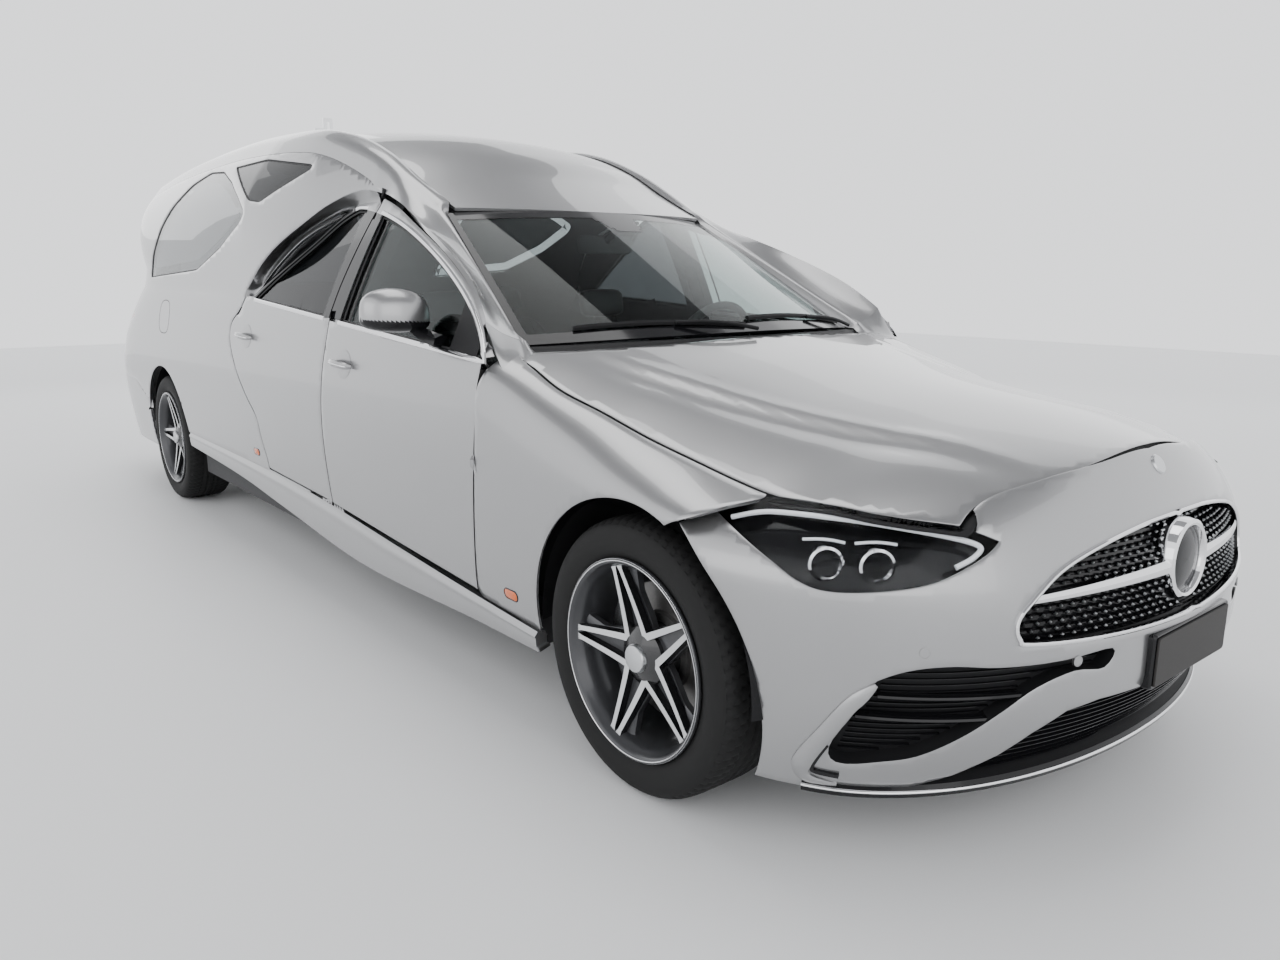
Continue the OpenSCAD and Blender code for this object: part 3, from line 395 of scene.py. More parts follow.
def flipY(p, f):
    f = f if isinstance(f, list) else [f]
    return p * [1, -1, 1], [x[:, ::-1] for x in f]


def halves(f):  # quads as triangles
    return np.vstack([f[:, [0, 1, 2]], f[:, [0, 2, 3]]])


def bothSides(p, f):
    return join([(p, f), flipY(p, f)])


def grid(p, loopU=False, loopV=False):  # quads over an array of points [u, v, 3]
    n, m = p.shape[:2]
    i, j = np.meshgrid(np.arange(n if loopU else n - 1), np.arange(m if loopV else m - 1), indexing="ij")
    a, b = i * m + j, ((i + 1) % n) * m + j
    c, d = ((i + 1) % n) * m + (j + 1) % m, i * m + (j + 1) % m
    return p.reshape(-1, 3), cols(a, b, c, d).reshape(-1, 4)


def newObject(name, data):
    o = bpy.data.objects.new(name, data)
    bpy.context.collection.objects.link(o)
    return o


# a mesh piece in metres. f is a face array, or a list of them with one finish each
def piece(name, p, f, finish, rides, slot, replaces=(), split=35):
    faces = f if isinstance(f, list) else [f]
    finishes = finish * (len(faces) // len(finish)) if isinstance(finish, list) else [finish] * len(faces)
    mesh = bpy.data.meshes.new(name)
    mesh.from_pydata((p / 1000).tolist(), [], [x for fs in faces for x in fs.tolist()])
    used = list(dict.fromkeys(m.name for m in finishes))
    for m in used:
        mesh.materials.append(bpy.data.materials[m])
    index = np.concatenate([np.full(len(fs), used.index(m.name)) for fs, m in zip(faces, finishes)])
    mesh.polygons.foreach_set("material_index", index.astype(np.int32))
    mesh.validate()
    bm = bmesh.new()
    bm.from_mesh(mesh)
    bmesh.ops.remove_doubles(bm, verts=bm.verts[:], dist=1e-5)
    bm.to_mesh(mesh)
    bm.free()
    mesh.shade_smooth()
    if split:
        mesh.set_sharp_from_angle(angle=math.radians(split))
    o = newObject(name, mesh)
    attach(o, rides)
    if replaces:
        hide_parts(*replaces)
    return o


# one piece with its mirror image, fixed to the body
def bodyPair(name, build, finishes, slot, nodes=(), **kw):
    piece(name, *bothSides(*build), finishes, "body", slot, nodes, **kw)


# finishes
def makeGrain():  # noise that gives a mask and, through a bump, a normal
    g = bpy.data.node_groups.new("grain", "ShaderNodeTree")
    for name, kind, value in (("Scale", "NodeSocketFloat", 100), ("Height", "NodeSocketFloat", 0.1),
                              ("Detail", "NodeSocketFloat", 3)):
        g.interface.new_socket(name, in_out="INPUT", socket_type=kind).default_value = value
    g.interface.new_socket("Mask", in_out="OUTPUT", socket_type="NodeSocketFloat")
    g.interface.new_socket("Normal", in_out="OUTPUT", socket_type="NodeSocketVector")
    inp, out = g.nodes.new("NodeGroupInput"), g.nodes.new("NodeGroupOutput")
    where, noise, bump = (g.nodes.new("ShaderNode" + k) for k in ("TexCoord", "TexNoise", "Bump"))
    bump.inputs["Distance"].default_value = 0.001
    g.links.new(where.outputs["Object"], noise.inputs["Vector"])
    g.links.new(inp.outputs["Scale"], noise.inputs["Scale"])
    g.links.new(inp.outputs["Detail"], noise.inputs["Detail"])
    g.links.new(inp.outputs["Height"], bump.inputs["Strength"])
    g.links.new(noise.outputs["Fac"], bump.inputs["Height"])
    g.links.new(noise.outputs["Fac"], out.inputs["Mask"])
    g.links.new(bump.outputs["Normal"], out.inputs["Normal"])
    return g


grainGroup = makeGrain()


def finish(name, color, rough=0.4, metal=0.0, coat=0.0, coatRough=0.1, grain=(300, 0.05, 3), vary=0.06,
           # a Principled material whose colour, roughness and normal vary with the grain group
           roughVary=0.05, transmission=0.0, ior=1.5, glow=0.0, specular=0.5, sheen=0.0):
    m = bpy.data.materials.new(name)
    m.use_nodes = True
    t = m.node_tree
    b = t.nodes["Principled BSDF"]
    for key, value in (("Metallic", metal), ("Coat Weight", coat), ("Coat Roughness", coatRough),
            ("IOR", ior),
                       ("Transmission Weight", transmission), ("Specular IOR Level", specular),
                       ("Sheen Weight", sheen)):
        b.inputs[key].default_value = value
    g = t.nodes.new("ShaderNodeGroup")
    g.node_tree = grainGroup
    for key, value in zip(("Scale", "Height", "Detail"), grain):
        g.inputs[key].default_value = value
    c = t.nodes.new("ShaderNodeMix")
    c.data_type = "RGBA"
    c.inputs["A"].default_value = (*[x * (1 - vary) for x in color], 1)
    c.inputs["B"].default_value = (*[min(1, x * (1 + vary)) for x in color], 1)
    t.links.new(g.outputs["Mask"], c.inputs["Factor"])
    t.links.new(c.outputs["Result"], b.inputs["Base Color"])
    r = t.nodes.new("ShaderNodeMapRange")
    r.inputs["To Min"].default_value = max(0, rough - roughVary)
    r.inputs["To Max"].default_value = rough + roughVary
    t.links.new(g.outputs["Mask"], r.inputs["Value"])
    t.links.new(r.outputs["Result"], b.inputs["Roughness"])
    if grain[1]:
        t.links.new(g.outputs["Normal"], b.inputs["Normal"])
    if glow:
        b.inputs["Emission Color"].default_value = (*color, 1)
        b.inputs["Emission Strength"].default_value = glow
    return m


def glassFinish(name, color, vary, ior):
    return finish(name, color, 0.01, 0, 0, 0.1, (10, 0, 1), vary, 0.005, 1, ior)


# a finish with no clear coat
def plainFinish(name, color, rough, metal, grain, vary, roughVary, *rest, **more):
    return finish(name, color, rough, metal, 0, 0.1, grain, vary, roughVary, *rest, **more)


silver = finish("silverPaint", (0.36, 0.36, 0.365), 0.30, 0.85, 1.0, 0.02, (2600, 0.035, 1), 0.05, 0.03)
blackGloss = finish("glossBlack", (0.006, 0.006, 0.007), 0.12, 0, 0.15, 0.03, (900, 0.01, 2), 0.1, 0.02,
        specular=0.25)
blackMatt = plainFinish("mattBlack", (0.010, 0.010, 0.011), 0.55, 0, (1400, 0.25, 3), 0.15, 0.08,
        specular=0.2)
rubber = plainFinish("sealRubber", (0.012, 0.012, 0.013), 0.6, 0, (900, 0.15, 3), 0.2, 0.08)
tyreRubber = plainFinish("tyreRubber", (0.010, 0.010, 0.010), 0.72, 0, (500, 0.3, 5), 0.3, 0.1, specular=0.25)
chrome = plainFinish("chrome", (0.82, 0.82, 0.83), 0.07, 1, (700, 0.005, 2), 0.02, 0.03)
satinMetal = plainFinish("satinMetal", (0.62, 0.63, 0.64), 0.28, 1, (1200, 0.05, 2), 0.06, 0.06)
machined = finish("machinedRim", (0.78, 0.79, 0.80), 0.2, 1, 0.5, 0.05, (1800, 0.03, 2), 0.04, 0.05)
rimGrey = finish("rimGrey", (0.05, 0.051, 0.055), 0.32, 0.4, 0.3, 0.06, (1500, 0.03, 2), 0.1, 0.05)
rimBlack = finish("rimBlack", (0.010, 0.010, 0.011), 0.25, 0.1, 0.6, 0.06, (1200, 0.03, 2), 0.1, 0.05)
iron = plainFinish("bareIron", (0.22, 0.215, 0.21), 0.42, 0.9, (250, 0.2, 5), 0.2, 0.12)
under = plainFinish("underbody", (0.03, 0.03, 0.032), 0.7, 0, (120, 0.5, 5), 0.25, 0.1)
leather = plainFinish("blackLeather", (0.016, 0.0155, 0.016), 0.45, 0, (700, 0.35, 4), 0.15, 0.08, sheen=0.05)
cloth = plainFinish("greyLining", (0.06, 0.06, 0.062), 0.85, 0, (1500, 0.4, 4), 0.12, 0.05, sheen=0.2)
screenGlass = glassFinish("screenGlass", (0.52, 0.58, 0.57), 0.01, 1.18)
doorGlass = glassFinish("doorGlass", (0.42, 0.50, 0.49), 0.01, 1.2)
darkGlass = glassFinish("privacyGlass", (0.07, 0.075, 0.08), 0.02, 1.25)
coachGlass = plainFinish("coachGlass", (0.52, 0.54, 0.55), 0.02, 0, (10, 0, 1), 0.02, 0.005, 1, 1.45)
lensGlass = glassFinish("lampCover", (0.93, 0.94, 0.95), 0.01, 1.12)
redLens = finish("redLens", (0.42, 0.012, 0.012), 0.08, 0, 0.8, 0.02, (600, 0.05, 2), 0.1, 0.03, 0.35, 1.45)
amber = finish("amberLens", (0.80, 0.14, 0.008), 0.12, 0, 0.8, 0.03, (500, 0.1, 2), 0.08, 0.04, 0.2, 1.45)
ledWhite = finish("ledBar", (0.85, 0.87, 0.90), 0.15, 0, 0.6, 0.02, (600, 0.05, 2), 0.03, 0.03, glow=0.25)
steelDeck = plainFinish("brushedDeck", (0.58, 0.57, 0.55), 0.33, 1, (600, 0.1, 3), 0.08, 0.08)
# a slightly darker copy of the silver paint for the handle cups: painted shade in the recess behind each handle
cupPaintedShade = finish("handleCup", (0.34, 0.34, 0.345), 0.32, 0.85, 0.8, 0.03, (2600, 0.035, 1), 0.05, 0.03)
plateDark = plainFinish("blankPlate", (0.03, 0.028, 0.027), 0.5, 0, (400, 0.05, 2), 0.04, 0.05, specular=0.2)
print("finishes made")


# doors
doors = dict(thickness=55, frame=30, gapLow=7, gapTop=14, glassIn=12, glass=5)


def doorAt(x, z):
    return cols(x, -doorY(x, z), z)


def splitX(x, z):  # the joint between the doors, which slants inward over its depth
    return along(splitLine, z) + 0.268 * (880 - doorY(x, z))


doorLow = grown(doorArea, -doors["gapLow"])
doorTop = grown(doorArea, -doors["gapTop"])
window = curve(dlo)
swing = np.array([45, -40])  # what the rear door's leaning frame gives up to swing out past the coach panel
swingTop = grown(dense(doorArea, 12), 0) + swing


def inSwing(q, grow=0.0):
    return (inside(grown(swingTop, grow), q) & (q[:, 1] < 1428 + grow)) | (q[:, 1] < 1090 + grow)


def rearWindow(gap):  # the part of the window that lies inside the rear door, as an outline
    w, g = dense(window, 8), grown(swingTop, -20 - gap)
    level = cols(np.arange(-400, 600, 8.0), np.full(125, 1408.0 - gap))
    q = np.vstack([grown(w, -gap)[inSwing(w, -20 - gap)],
                   g[inside(w, g) & (g[:, 1] < 1408 - gap) & (g[:, 1] > 1070)],
                   level[inside(w, level) & inside(g, level)]])
    q = q[(q[:, 0] < 640)]
    a = np.arctan2(q[:, 1] - 1230, q[:, 0] - 150)
    return q[np.argsort(a)]


splitZ = np.arange(290, 1500, 8.0)
tipX = 1528.0


def doorLine(offset):
    x = splitX(along(splitLine, splitZ), splitZ) + offset
    return cols(x, splitZ)


def inDoor(q):
    return inside(doorTop, q) | (inside(doorLow, q) & (q[:, 1] < 1010))


def doorSkin(front):
    rows = (440, 1570) if front else (-600, 560)
    off = 3.5 if front else -3.5
    pillar = np.array([[575 if front else 430, 900], [575 if front else 430, 1500]], float)

    def keep(p, q):
        x = splitX(q[:, 0], q[:, 1])
        side = q[:, 0] > x + 3.5 if front else q[:, 0] < x - 3.5
        bar = q[:, 0] > 575 if front else q[:, 0] < 430
        hole = inside(window, q) if front else inside(rearHole, q)
        return inDoor(q) & side & ~(hole & bar) & (front | inSwing(q)) & (q[:, 0] < tipX)

    rearHole = rearWindow(0)
    lines = [(dense(doorLow), True), (dense(doorTop), True), (dense(window if front else rearHole), True),
             (doorLine(off), False),
             (dense(pillar, 12, False), False), (np.array([[rows[0], 1010.0], [rows[1], 1010.0]]), False)]
    if front:
        lines += [(np.array([[tipX, 880.0], [tipX, 1060]]), False)]
    else:
        lines += [(swingTop[swingTop[:, 0] < 520], False), (np.array([[-600, 1090.0], [560, 1090]]), False),
                  (np.array([[-600, 1428.0], [560, 1428]]), False)]
    return skin(doorAt, (rows, (300, 1480)), 24, lines, keep)


def doorDeep(p):
    return mix(doors["thickness"], doors["frame"], clamp((p[:, 2] - belt(p[:, 0]) + 40) / 60))


def pane(x0, x1):
    outline = dense(window) if x0 > 0 else rearWindow(0.3)

    def keep(p, q):
        return inside(outline, q) & (q[:, 0] > x0) & (q[:, 0] < x1)

    bars = [(dense(np.array([[x, 900.0], [x, 1500.0]]), 12, False), False) for x in (x0, x1)]
    made = skin(doorAt, ((x0, x1), (940, 1420)), 30, [(outline, True)] + bars, keep, 0)
    return sunk(made, doors["glassIn"], doors["glass"])


def endCaps(m, count):  # the two ends of a run of m-sided rings with count points in all
    caps = np.array([[0, i, i + 1] for i in range(1, m - 1)])
    return caps[:, ::-1], caps + count - m


# a profile [across, out] carried along a path, turned to the surface normal out at every point
def strip(path, out, profile, loop=False, taper=None):
    path, out, profile = np.array(path, float), np.array(out, float), np.array(profile, float)
    t = np.roll(path, -1, 0) - np.roll(path, 1, 0) if loop else np.gradient(path, axis=0)
    t /= np.linalg.norm(t, axis=1)[:, None]
    out = out - np.sum(out * t, 1)[:, None] * t
    out /= np.linalg.norm(out, axis=1)[:, None]
    side = np.cross(t, out)
    k = np.ones(len(path)) if taper is None else taper
    p = (path[:, None] + side[:, None] * profile[None, :, :1] * k[:, None, None]
         + out[:, None] * profile[None, :, 1:] * k[:, None, None])
    p, f = grid(p, loop, True)
    if loop:
        return p, [f]
    return p, [f, *endCaps(len(profile), len(p))]


def profile(points):  # a drawn profile in the order that strip takes
    return np.array(points)[::-1]


def bead(w, h, base=0.0, n=6):  # half-round profile, w wide and h high, standing on base
    a = np.linspace(0, np.pi, n)
    return np.vstack([[[-w / 2, base - 1]], cols(-np.cos(a) * w / 2, base + np.sin(a) * h),
                      [[w / 2, base - 1]]])[::-1]


# surface normal at parameter points by small steps, pointing outward
def faceNormal(space, q, h=2.0, middle=None):
    u, v = q[:, 0], q[:, 1]
    n = np.cross(space(u + h, v) - space(u - h, v), space(u, v + 2) - space(u, v - 2))
    n /= np.linalg.norm(n, axis=1)[:, None]
    m = space(u, v)
    away = fromMiddle(m) if middle is None else m - middle
    return n * np.where(np.sum(n * away, 1) > 0, 1, -1)[:, None]


def trim(space, q, profile, loop=False, lift=0.0, taper=None):
    n = faceNormal(space, q)
    return strip(space(q[:, 0], q[:, 1]) + n * lift, n, profile, loop, taper)


def sections(q, gap=45):  # an outline cut wherever two of its points lie far apart
    cut = np.where(np.hypot(*(q[1:] - q[:-1]).T) > gap)[0] + 1
    return [r for r in np.split(q, cut) if len(r) > 2]


# the same piece on the right and, turned over, on the left, each on its own body
def sidePiece(name, build, finishes, rides, slot, nodes=(), **kw):
    p, f = build
    for side in ("right", "left"):
        q, g = (p, f) if side == "right" else flipY(p, f)
        fit = [n.replace("SIDE", side) for n in nodes]
        piece(name + side.capitalize(), q, g, finishes, rides.replace("SIDE", side), slot, fit, **kw)


for front in (True, False):
    word = "front" if front else "rear"
    ride, node = word + "_door_SIDE", word + "_door_SIDE"
    p, f = doorSkin(front)
    q, (skinFaces, band, back) = shell(p, f, doorDeep)
    pillarMask = lambda m: inside(window, m[:, [0, 2]]) & ((m[:, 0] < 575) | (not front))
    plain, black = split(q, skinFaces, pillarMask)
    sidePiece(word + "Door", (q, [plain, black, band, back]),
              [silver, blackGloss, silver if front else blackMatt, blackMatt], ride, "paint", [node])
    x0, x1 = (575.3, 1499.7) if front else (-359.7, 429.7)
    sidePiece(word + "Glass", pane(x0, x1), doorGlass if front else darkGlass, ride,
              "clear_glass" if front else "privacy_glass", [word + "_glass_SIDE"])
    # the dark cover over the pillar between the windows
    z = np.linspace(0, 1, 40)
    top = 1366 if front else 1390
    zz = mix(belt(500) + 3, top, z)
    xs = cols(splitX(splitX(500, zz), zz) + (5 if front else -5), 0 * z + (577 if front else 428))
    tt = np.linspace(0, 1, 9)
    gx = xs[:, :1] + (xs[:, 1:] - xs[:, :1]) * tt
    gz = np.repeat(zz[:, None], 9, 1)
    cover, f = grid(doorAt(gx, gz) + [0, -1.6, 0])
    f = outward(cover, f)
    sidePiece(word + "PillarCover", shell(cover, halves(f), 3), blackGloss, ride, "gloss_black")
    # bright trim round the glass, and the black seal inside it
    edge = dense(window, 14) if front else dense(rearWindow(0), 14)
    away = grown(edge, 7)
    part = away[(edge[:, 0] > (560 if front else -2000)) & (edge[:, 0] < (2000 if front else 445))]
    if not front:  # only along the top and the belt; where the door stops short the line goes on behind it
        ok = np.min(np.hypot(*(part[:, None] - grown(dense(window, 6), 7)[None]).transpose(2, 0, 1)), 1) < 5
        edge, part = None, part[ok]
    start = np.argmax(np.hypot(*(np.roll(part, 1, 0) - part).T))
    part = np.roll(part, -start, 0)
    sidePiece(word + "Trim", join([trim(doorAt, r, bead(18, 5.5)) for r in sections(part)]), chrome, ride,
              "chrome")
    ring = dense(window, 14)
    ring = np.vstack([ring[ring[:, 0] > 574], [[574, 1374]]]) if front else dense(rearWindow(0), 14)
    ring = dense(ring[np.argsort(np.arctan2(ring[:, 1] - 1120, ring[:, 0] - 900))], 14) if front else ring
    hole = grown(ring, -3)
    sidePiece(word + "Seal", trim(doorAt, hole, bead(9, 3, -9), True), rubber, ride, "dark_trim")
print("doors made")


# front wings
def wingY(x):
    return along([[1480, 762], [1626, 785], [1770, 795], [1924, 780], [2077, 765], [2240, 752], [2463, 737],
                  [2617, 705], [2699, 657], [2784, 578], [2870, 470]], x)


def wingZ(x):
    return along([[1480, 990], [1626, 950], [1770, 903], [1924, 863], [2077, 820], [2240, 784], [2350, 762],
                  [2463, 745], [2617, 745], [2784, 720], [2870, 700]], x)


def wingAt(x, v):  # v below 680 is a height on the side; above, 680 to 980 is the turn over to the shut line
    a = clamp((v - 680) / 300)
    c = wingY(x) - 130
    w = body["halfWidth"] - c
    k = mix(1, 0.42, clamp((2240 - x) / 700))
    s = np.degrees(np.arcsin((130 / w) ** (1 / k)))
    b = np.radians(mix(90, s, a))
    y = np.where(v < 680, body["halfWidth"] - fall(v), c + w * np.sin(b) ** k)
    top = 680 + (wingZ(x) - 680) * (np.cos(b) / np.cos(np.radians(s))) ** k
    return cols(x, -y, np.where(v < 680, v, top))


def wingV(x, z):
    return np.where(z < 680, z, solve(lambda v: wingAt(x, v)[..., 2] - z, 0 * x + 680, 0 * x + 980))


def circle(cx, cz, r, n=180):
    a = turn(n)
    return cols(cx + r * np.cos(a), cz + r * np.sin(a))


bumperArea = np.vstack([bumperSeam, [[2479, 1000], [3100, 1000], [3100, 100]]])
skirtLine = [[-1330, 403], [-176, 392.7], [404, 372.7], [970, 334.7], [1479, 302.7], [1830, 284]]
frontArch = circle(body["frontAxle"], body["hubZ"], body["archR"])
rearArch = circle(body["rearAxle"], body["hubZ"], body["archR"])
lampArea = np.vstack([curve(lampTop)[:-1], curve(lampLow)[:-1]])
bonnetPlan = np.array([[1752, 0], [1716, -300], [1650, -520], [1590, -650], [1550, -735]]
                      + [[x, -float(wingY(x))] for x in (1585, 1640, 1770, 1924, 2077, 2240, 2463, 2617,
                              2699)]
                      + [[2780, -578], [2775, -503], [2814, -360], [2850, -187], [2862, 0]], float)


def eased(points, n=6):  # the bonnet's outline with its long edges smoothed and its corners kept
    q = np.vstack([curve(points[:5], n)[:-1], curve(points[4:15], n)[:-1], curve(points[14:], n)])
    return np.vstack([q, (q * [1, -1])[::-1][1:-1]])


bonnetArea = eased(bonnetPlan)


def wingSkin():
    seamLine = dense(np.array(bumperSeam, float), 10, False)
    low = cols(np.arange(1480, 1840, 15.0), along(skirtLine, np.arange(1480, 1840, 15.0)) + 0.3)
    toV = lambda q: cols(q[:, 0], wingV(q[:, 0], q[:, 1]))
    door = dense(doorArea, 12)
    door = door[(door[:, 0] > 1470) & (door[:, 1] > 280)]
    cut = grown(bonnetArea, body["shut"])

    def keep(p, q):
        side = p[:, [0, 2]]
        slant = cols((p[:, 0] + p[:, 1]) / math.sqrt(2), p[:, 2])
        return (~(inside(doorArea, side) & (p[:, 0] < tipX + 6)) & ~inside(bumperArea,
                side) & ~inside(frontArch, side)
                & (p[:, 2] > along(skirtLine, p[:, 0]) + 0.3) & ~inside(lampArea, slant)
                & (p[:, 0] > 1485) & ~inside(cut, p[:, :2]) & (q[:, 1] < 980))

    edgeX = np.arange(1500, 2480, 12.0)
    shutV = solve(lambda v: (wingY(edgeX) + 7) - -wingAt(edgeX, v)[:, 1], 0 * edgeX + 700, 0 * edgeX + 980)
    lamp = dense(np.array(lampTop, float), 10, False)
    lx = solve(lambda x: (x + wingAt(x, wingV(x, lamp[:, 1]))[:, 1]) / math.sqrt(2) - lamp[:, 0],
               0 * lamp[:, 0] + 2200, 0 * lamp[:, 0] + 2600)
    lampLine = cols(lx, wingV(lx, lamp[:, 1]))
    lampLine = lampLine[(lx > 2300) & (lx < 2590)]
    lines = [(toV(seamLine[(seamLine[:, 0] > 2180)]), False), (toV(frontArch), True), (toV(low), False),
             (toV(np.array([[tipX + 6, 890.0], [tipX + 6, 940], [tipX + 6, 965]])), False),
             (toV(door), False), (cols(edgeX, shutV), False), (lampLine, False)]
    return skin(wingAt, ((1485, 2500), (285, 980)), 20, lines, keep)


p, f = wingSkin()
bodyPair("frontWings", shell(p, f, 10), silver, "paint", ["front_wings"])
print("wings made")


# bonnet
bonnet = dict(dome=7.0, domeWidth=95, creaseHeight=5.0)


def bonnetMid(x):
    return along([[1700, 1014], [2160, 930], [2560, 880], [2863, 828], [2900, 815]], x)


def creaseY(x):  # where the power dome's edge runs, from the windscreen's corners in towards the nose
    return along([[1500, 600], [1750, 560], [2100, 480], [2500, 395], [2870, 300]], x)


def bonnetPoint(x, y):
    m, e = bonnetMid(x), wingZ(x)
    z = m - (m - e) * (np.abs(y) / wingY(x)) ** 1.9
    d = np.abs(y) - creaseY(x)
    fade = clamp((x - 1560) / 300) * clamp((2830 - x) / 260)
    ridge = bonnet["creaseHeight"] * np.exp(-(d / 26) ** 2) - bonnet["dome"] * np.exp(-((d - 55) / 48) ** 2)
    return cols(x, y, z + ridge * fade)


def bonnetSkin():
    def keep(p, q):
        return inside(bonnetArea, q)

    return skin(bonnetPoint, ((1540, 2880), (-800, 800)), 22, [(dense(bonnetArea), True)], keep)


p, f = bonnetSkin()
bonnetNode = shell(p, f, 14)
piece("bonnetSkin", *bonnetNode, [silver, silver, under], "bonnet", "paint", ["bonnet"])
print("bonnet made")


# nose
def noseSpace(u, z):  # u from -1 on the right side through 0 at the middle to 1 on the left
    p = noseAt(1 - np.abs(u), z)
    p[..., 1] *= np.where(u > 0, -1, 1)
    return p


def noseLine(q, axis):  # an outline in side, front or corner view as parameter points on the right
    t = noseT(q[:, 0], q[:, 1], axis)
    return cols(-(1 - t), q[:, 1])


def noseHalf(q):  # front view, any side
    t = noseT(-np.abs(q[:, 0]), q[:, 1], "y")
    return cols(np.sign(q[:, 0]) * (1 - t), q[:, 1])


grilleArea = mirrored(curve(grilleHalf, 6))
intakeArea = curve(intakeHalf, 4, True)
lowerArea = mirrored(np.array(lowerHalf, float))
noseStep = (0.011, 15)
edgeOut = grown(bonnetArea, body["shut"])
edgeOut = edgeOut[(edgeOut[:, 1] <= 0) & (edgeOut[:, 0] > 1780)]
frontEdgeX = cols(-edgeOut[:, 1], edgeOut[:, 0])[np.argsort(-edgeOut[:, 1])]


def bonnetFront(u):  # height at which the nose meets the bonnet's front edge
    f = lambda z: np.interp(np.abs(noseSpace(u, z)[..., 1]), *frontEdgeX.T) - noseSpace(u, z)[..., 0]
    return solve(f, 0 * u + 600, 0 * u + 880)


def slantOf(p):
    return cols((p[:, 0] - np.abs(p[:, 1])) / math.sqrt(2), p[:, 2])


def frontOf(p):
    return cols(p[:, 1], p[:, 2])


def turned(q):  # the same outline on the other side of the nose
    return q * [-1, 1]


lampLine = noseLine(dense(lampArea, 10), "s")
lampLine = lampLine[np.abs(lampLine[:, 0]) < 0.999]


def noseKeep(p, q):
    side = p[:, [0, 2]]
    flip = cols(-np.abs(p[:, 1]), p[:, 2])
    over = (p[:, 2] > 600) & (p[:, 0] < np.interp(np.abs(p[:, 1]), *frontEdgeX.T))
    slant = slantOf(p)
    over |= (slant[:, 0] < 1590) & (slant[:, 1] > along(lampTop, slant[:, 0]) - 3)
    return (inside(bumperArea, side) & ~inside(frontArch, side) & ~inside(lampArea, slant)
            & ~over & ~inside(grilleArea, frontOf(p)) & ~inside(intakeArea * [-1, 1], flip)
            & ~inside(lowerArea, frontOf(p)) & (p[:, 2] > 171) & (q[:, 1] < 829))


def noseLines():
    seam = noseLine(dense(np.array(bumperSeam, float), 10, False), "x")
    seam = seam[(seam[:, 0] > -0.9995) & (seam[:, 1] > 171)]
    a = np.linspace(-0.43, 1.45, 60)
    arc = cols(2160 + 378 * np.cos(a[::-1]), 328 + 378 * np.sin(a[::-1]))
    arc = noseLine(arc[arc[:, 0] > 2202], "x")
    u = np.linspace(-0.80, 0.80, 900)
    top = cols(u, bonnetFront(u))
    run = np.concatenate([[0], np.cumsum(np.linalg.norm(np.diff(noseSpace(*top.T), axis=0), axis=1))])
    top = top[np.searchsorted(run, np.arange(0, run[-1], 8.0))]
    out = [(noseHalf(dense(grilleArea, 12)), True), (noseHalf(dense(lowerArea, 14)), True), (top, False)]
    for w in (lambda q: q, turned):
        out += [(w(seam), False), (w(arc), False), (w(lampLine), True),
                (w(noseHalf(dense(intakeArea * [-1, 1], 12))), True)]
    return out


p, f = skin(noseSpace, ((-0.999, 0.999), (170, 830)), noseStep, noseLines(), noseKeep)
piece("frontBumper", *shell(p, f, 11), silver, "body", "paint", ["front_bumper"])
print("nose made")


# headlamps: a dark housing, a clear cover, two projector modules and a light strip hooked at its inner end
def lampKeep(p, q):
    return inside(lampArea, slantOf(p)) & (p[:, 1] < 0) & ~(
        (p[:, 2] > 696) & (p[:, 0] < np.interp(np.abs(p[:, 1]), *frontEdgeX.T)))


lampSkin = skin(noseSpace, ((-0.999, -0.4), (600, 755)), (0.008, 11), [(lampLine, True)], lampKeep, 0)
p, f = lampSkin
n = normals(p, f)
cover = shell(p - n * 0.6, f, 3)
bodyPair("lampCovers", cover, lensGlass, "lamp", ["headlamps"])
e, k = rim(f), len(p)
wall = np.vstack([p - n * 4.5, p - n * 42])
band = np.vstack([cols(e[:, 1], e[:, 0], e[:, 0] + k)[:, ::-1],
        cols(e[:, 1], e[:, 0] + k, e[:, 1] + k)[:, ::-1]])
bodyPair("lampHousings", (wall, [f + k, band]), blackGloss, "lamp")


# a place in the lamp, seen square to the corner, deep millimetres behind the cover
def cornerPoint(s, z, deep):
    q = noseLine(cols(np.atleast_1d(s), np.atleast_1d(z)).astype(float), "s")
    return noseSpace(q[:, 0], q[:, 1]) - noseNormal(q) * deep


def noseNormal(q):
    return faceNormal(noseSpace, q, 0.004, [1900, 0, 560])


def lathe(profile, centre, axis, n=40):  # a profile [radius, along] turned about an axis through a centre
    axis = np.array(axis, float) / np.linalg.norm(axis)
    ref = np.array([0, 0, 1.0]) if abs(axis[2]) < 0.9 else np.array([1.0, 0, 0])
    a = np.cross(ref, axis)
    a /= np.linalg.norm(a)
    b = np.cross(axis, a)
    t = turn(n)
    r = np.array(profile, float)
    ring = np.cos(t)[:, None] * a + np.sin(t)[:, None] * b
    p = np.array(centre, float) + ring[:, None] * r[None, :, :1] + axis * r[None, :, 1:]
    return grid(p, True, False)


def tube(path, r, loop=False, n=8):  # a round rod along a path
    path = np.array(path, float)
    t = np.gradient(path, axis=0)
    flat = np.cross(t, [0, 0, 1.0])
    flat = np.where(np.linalg.norm(flat, axis=1)[:, None] < 1e-6, [0, 1.0, 0], flat)
    a = turn(n)
    return strip(path, flat, cols(np.cos(a), np.sin(a))[::-1] * r, loop)


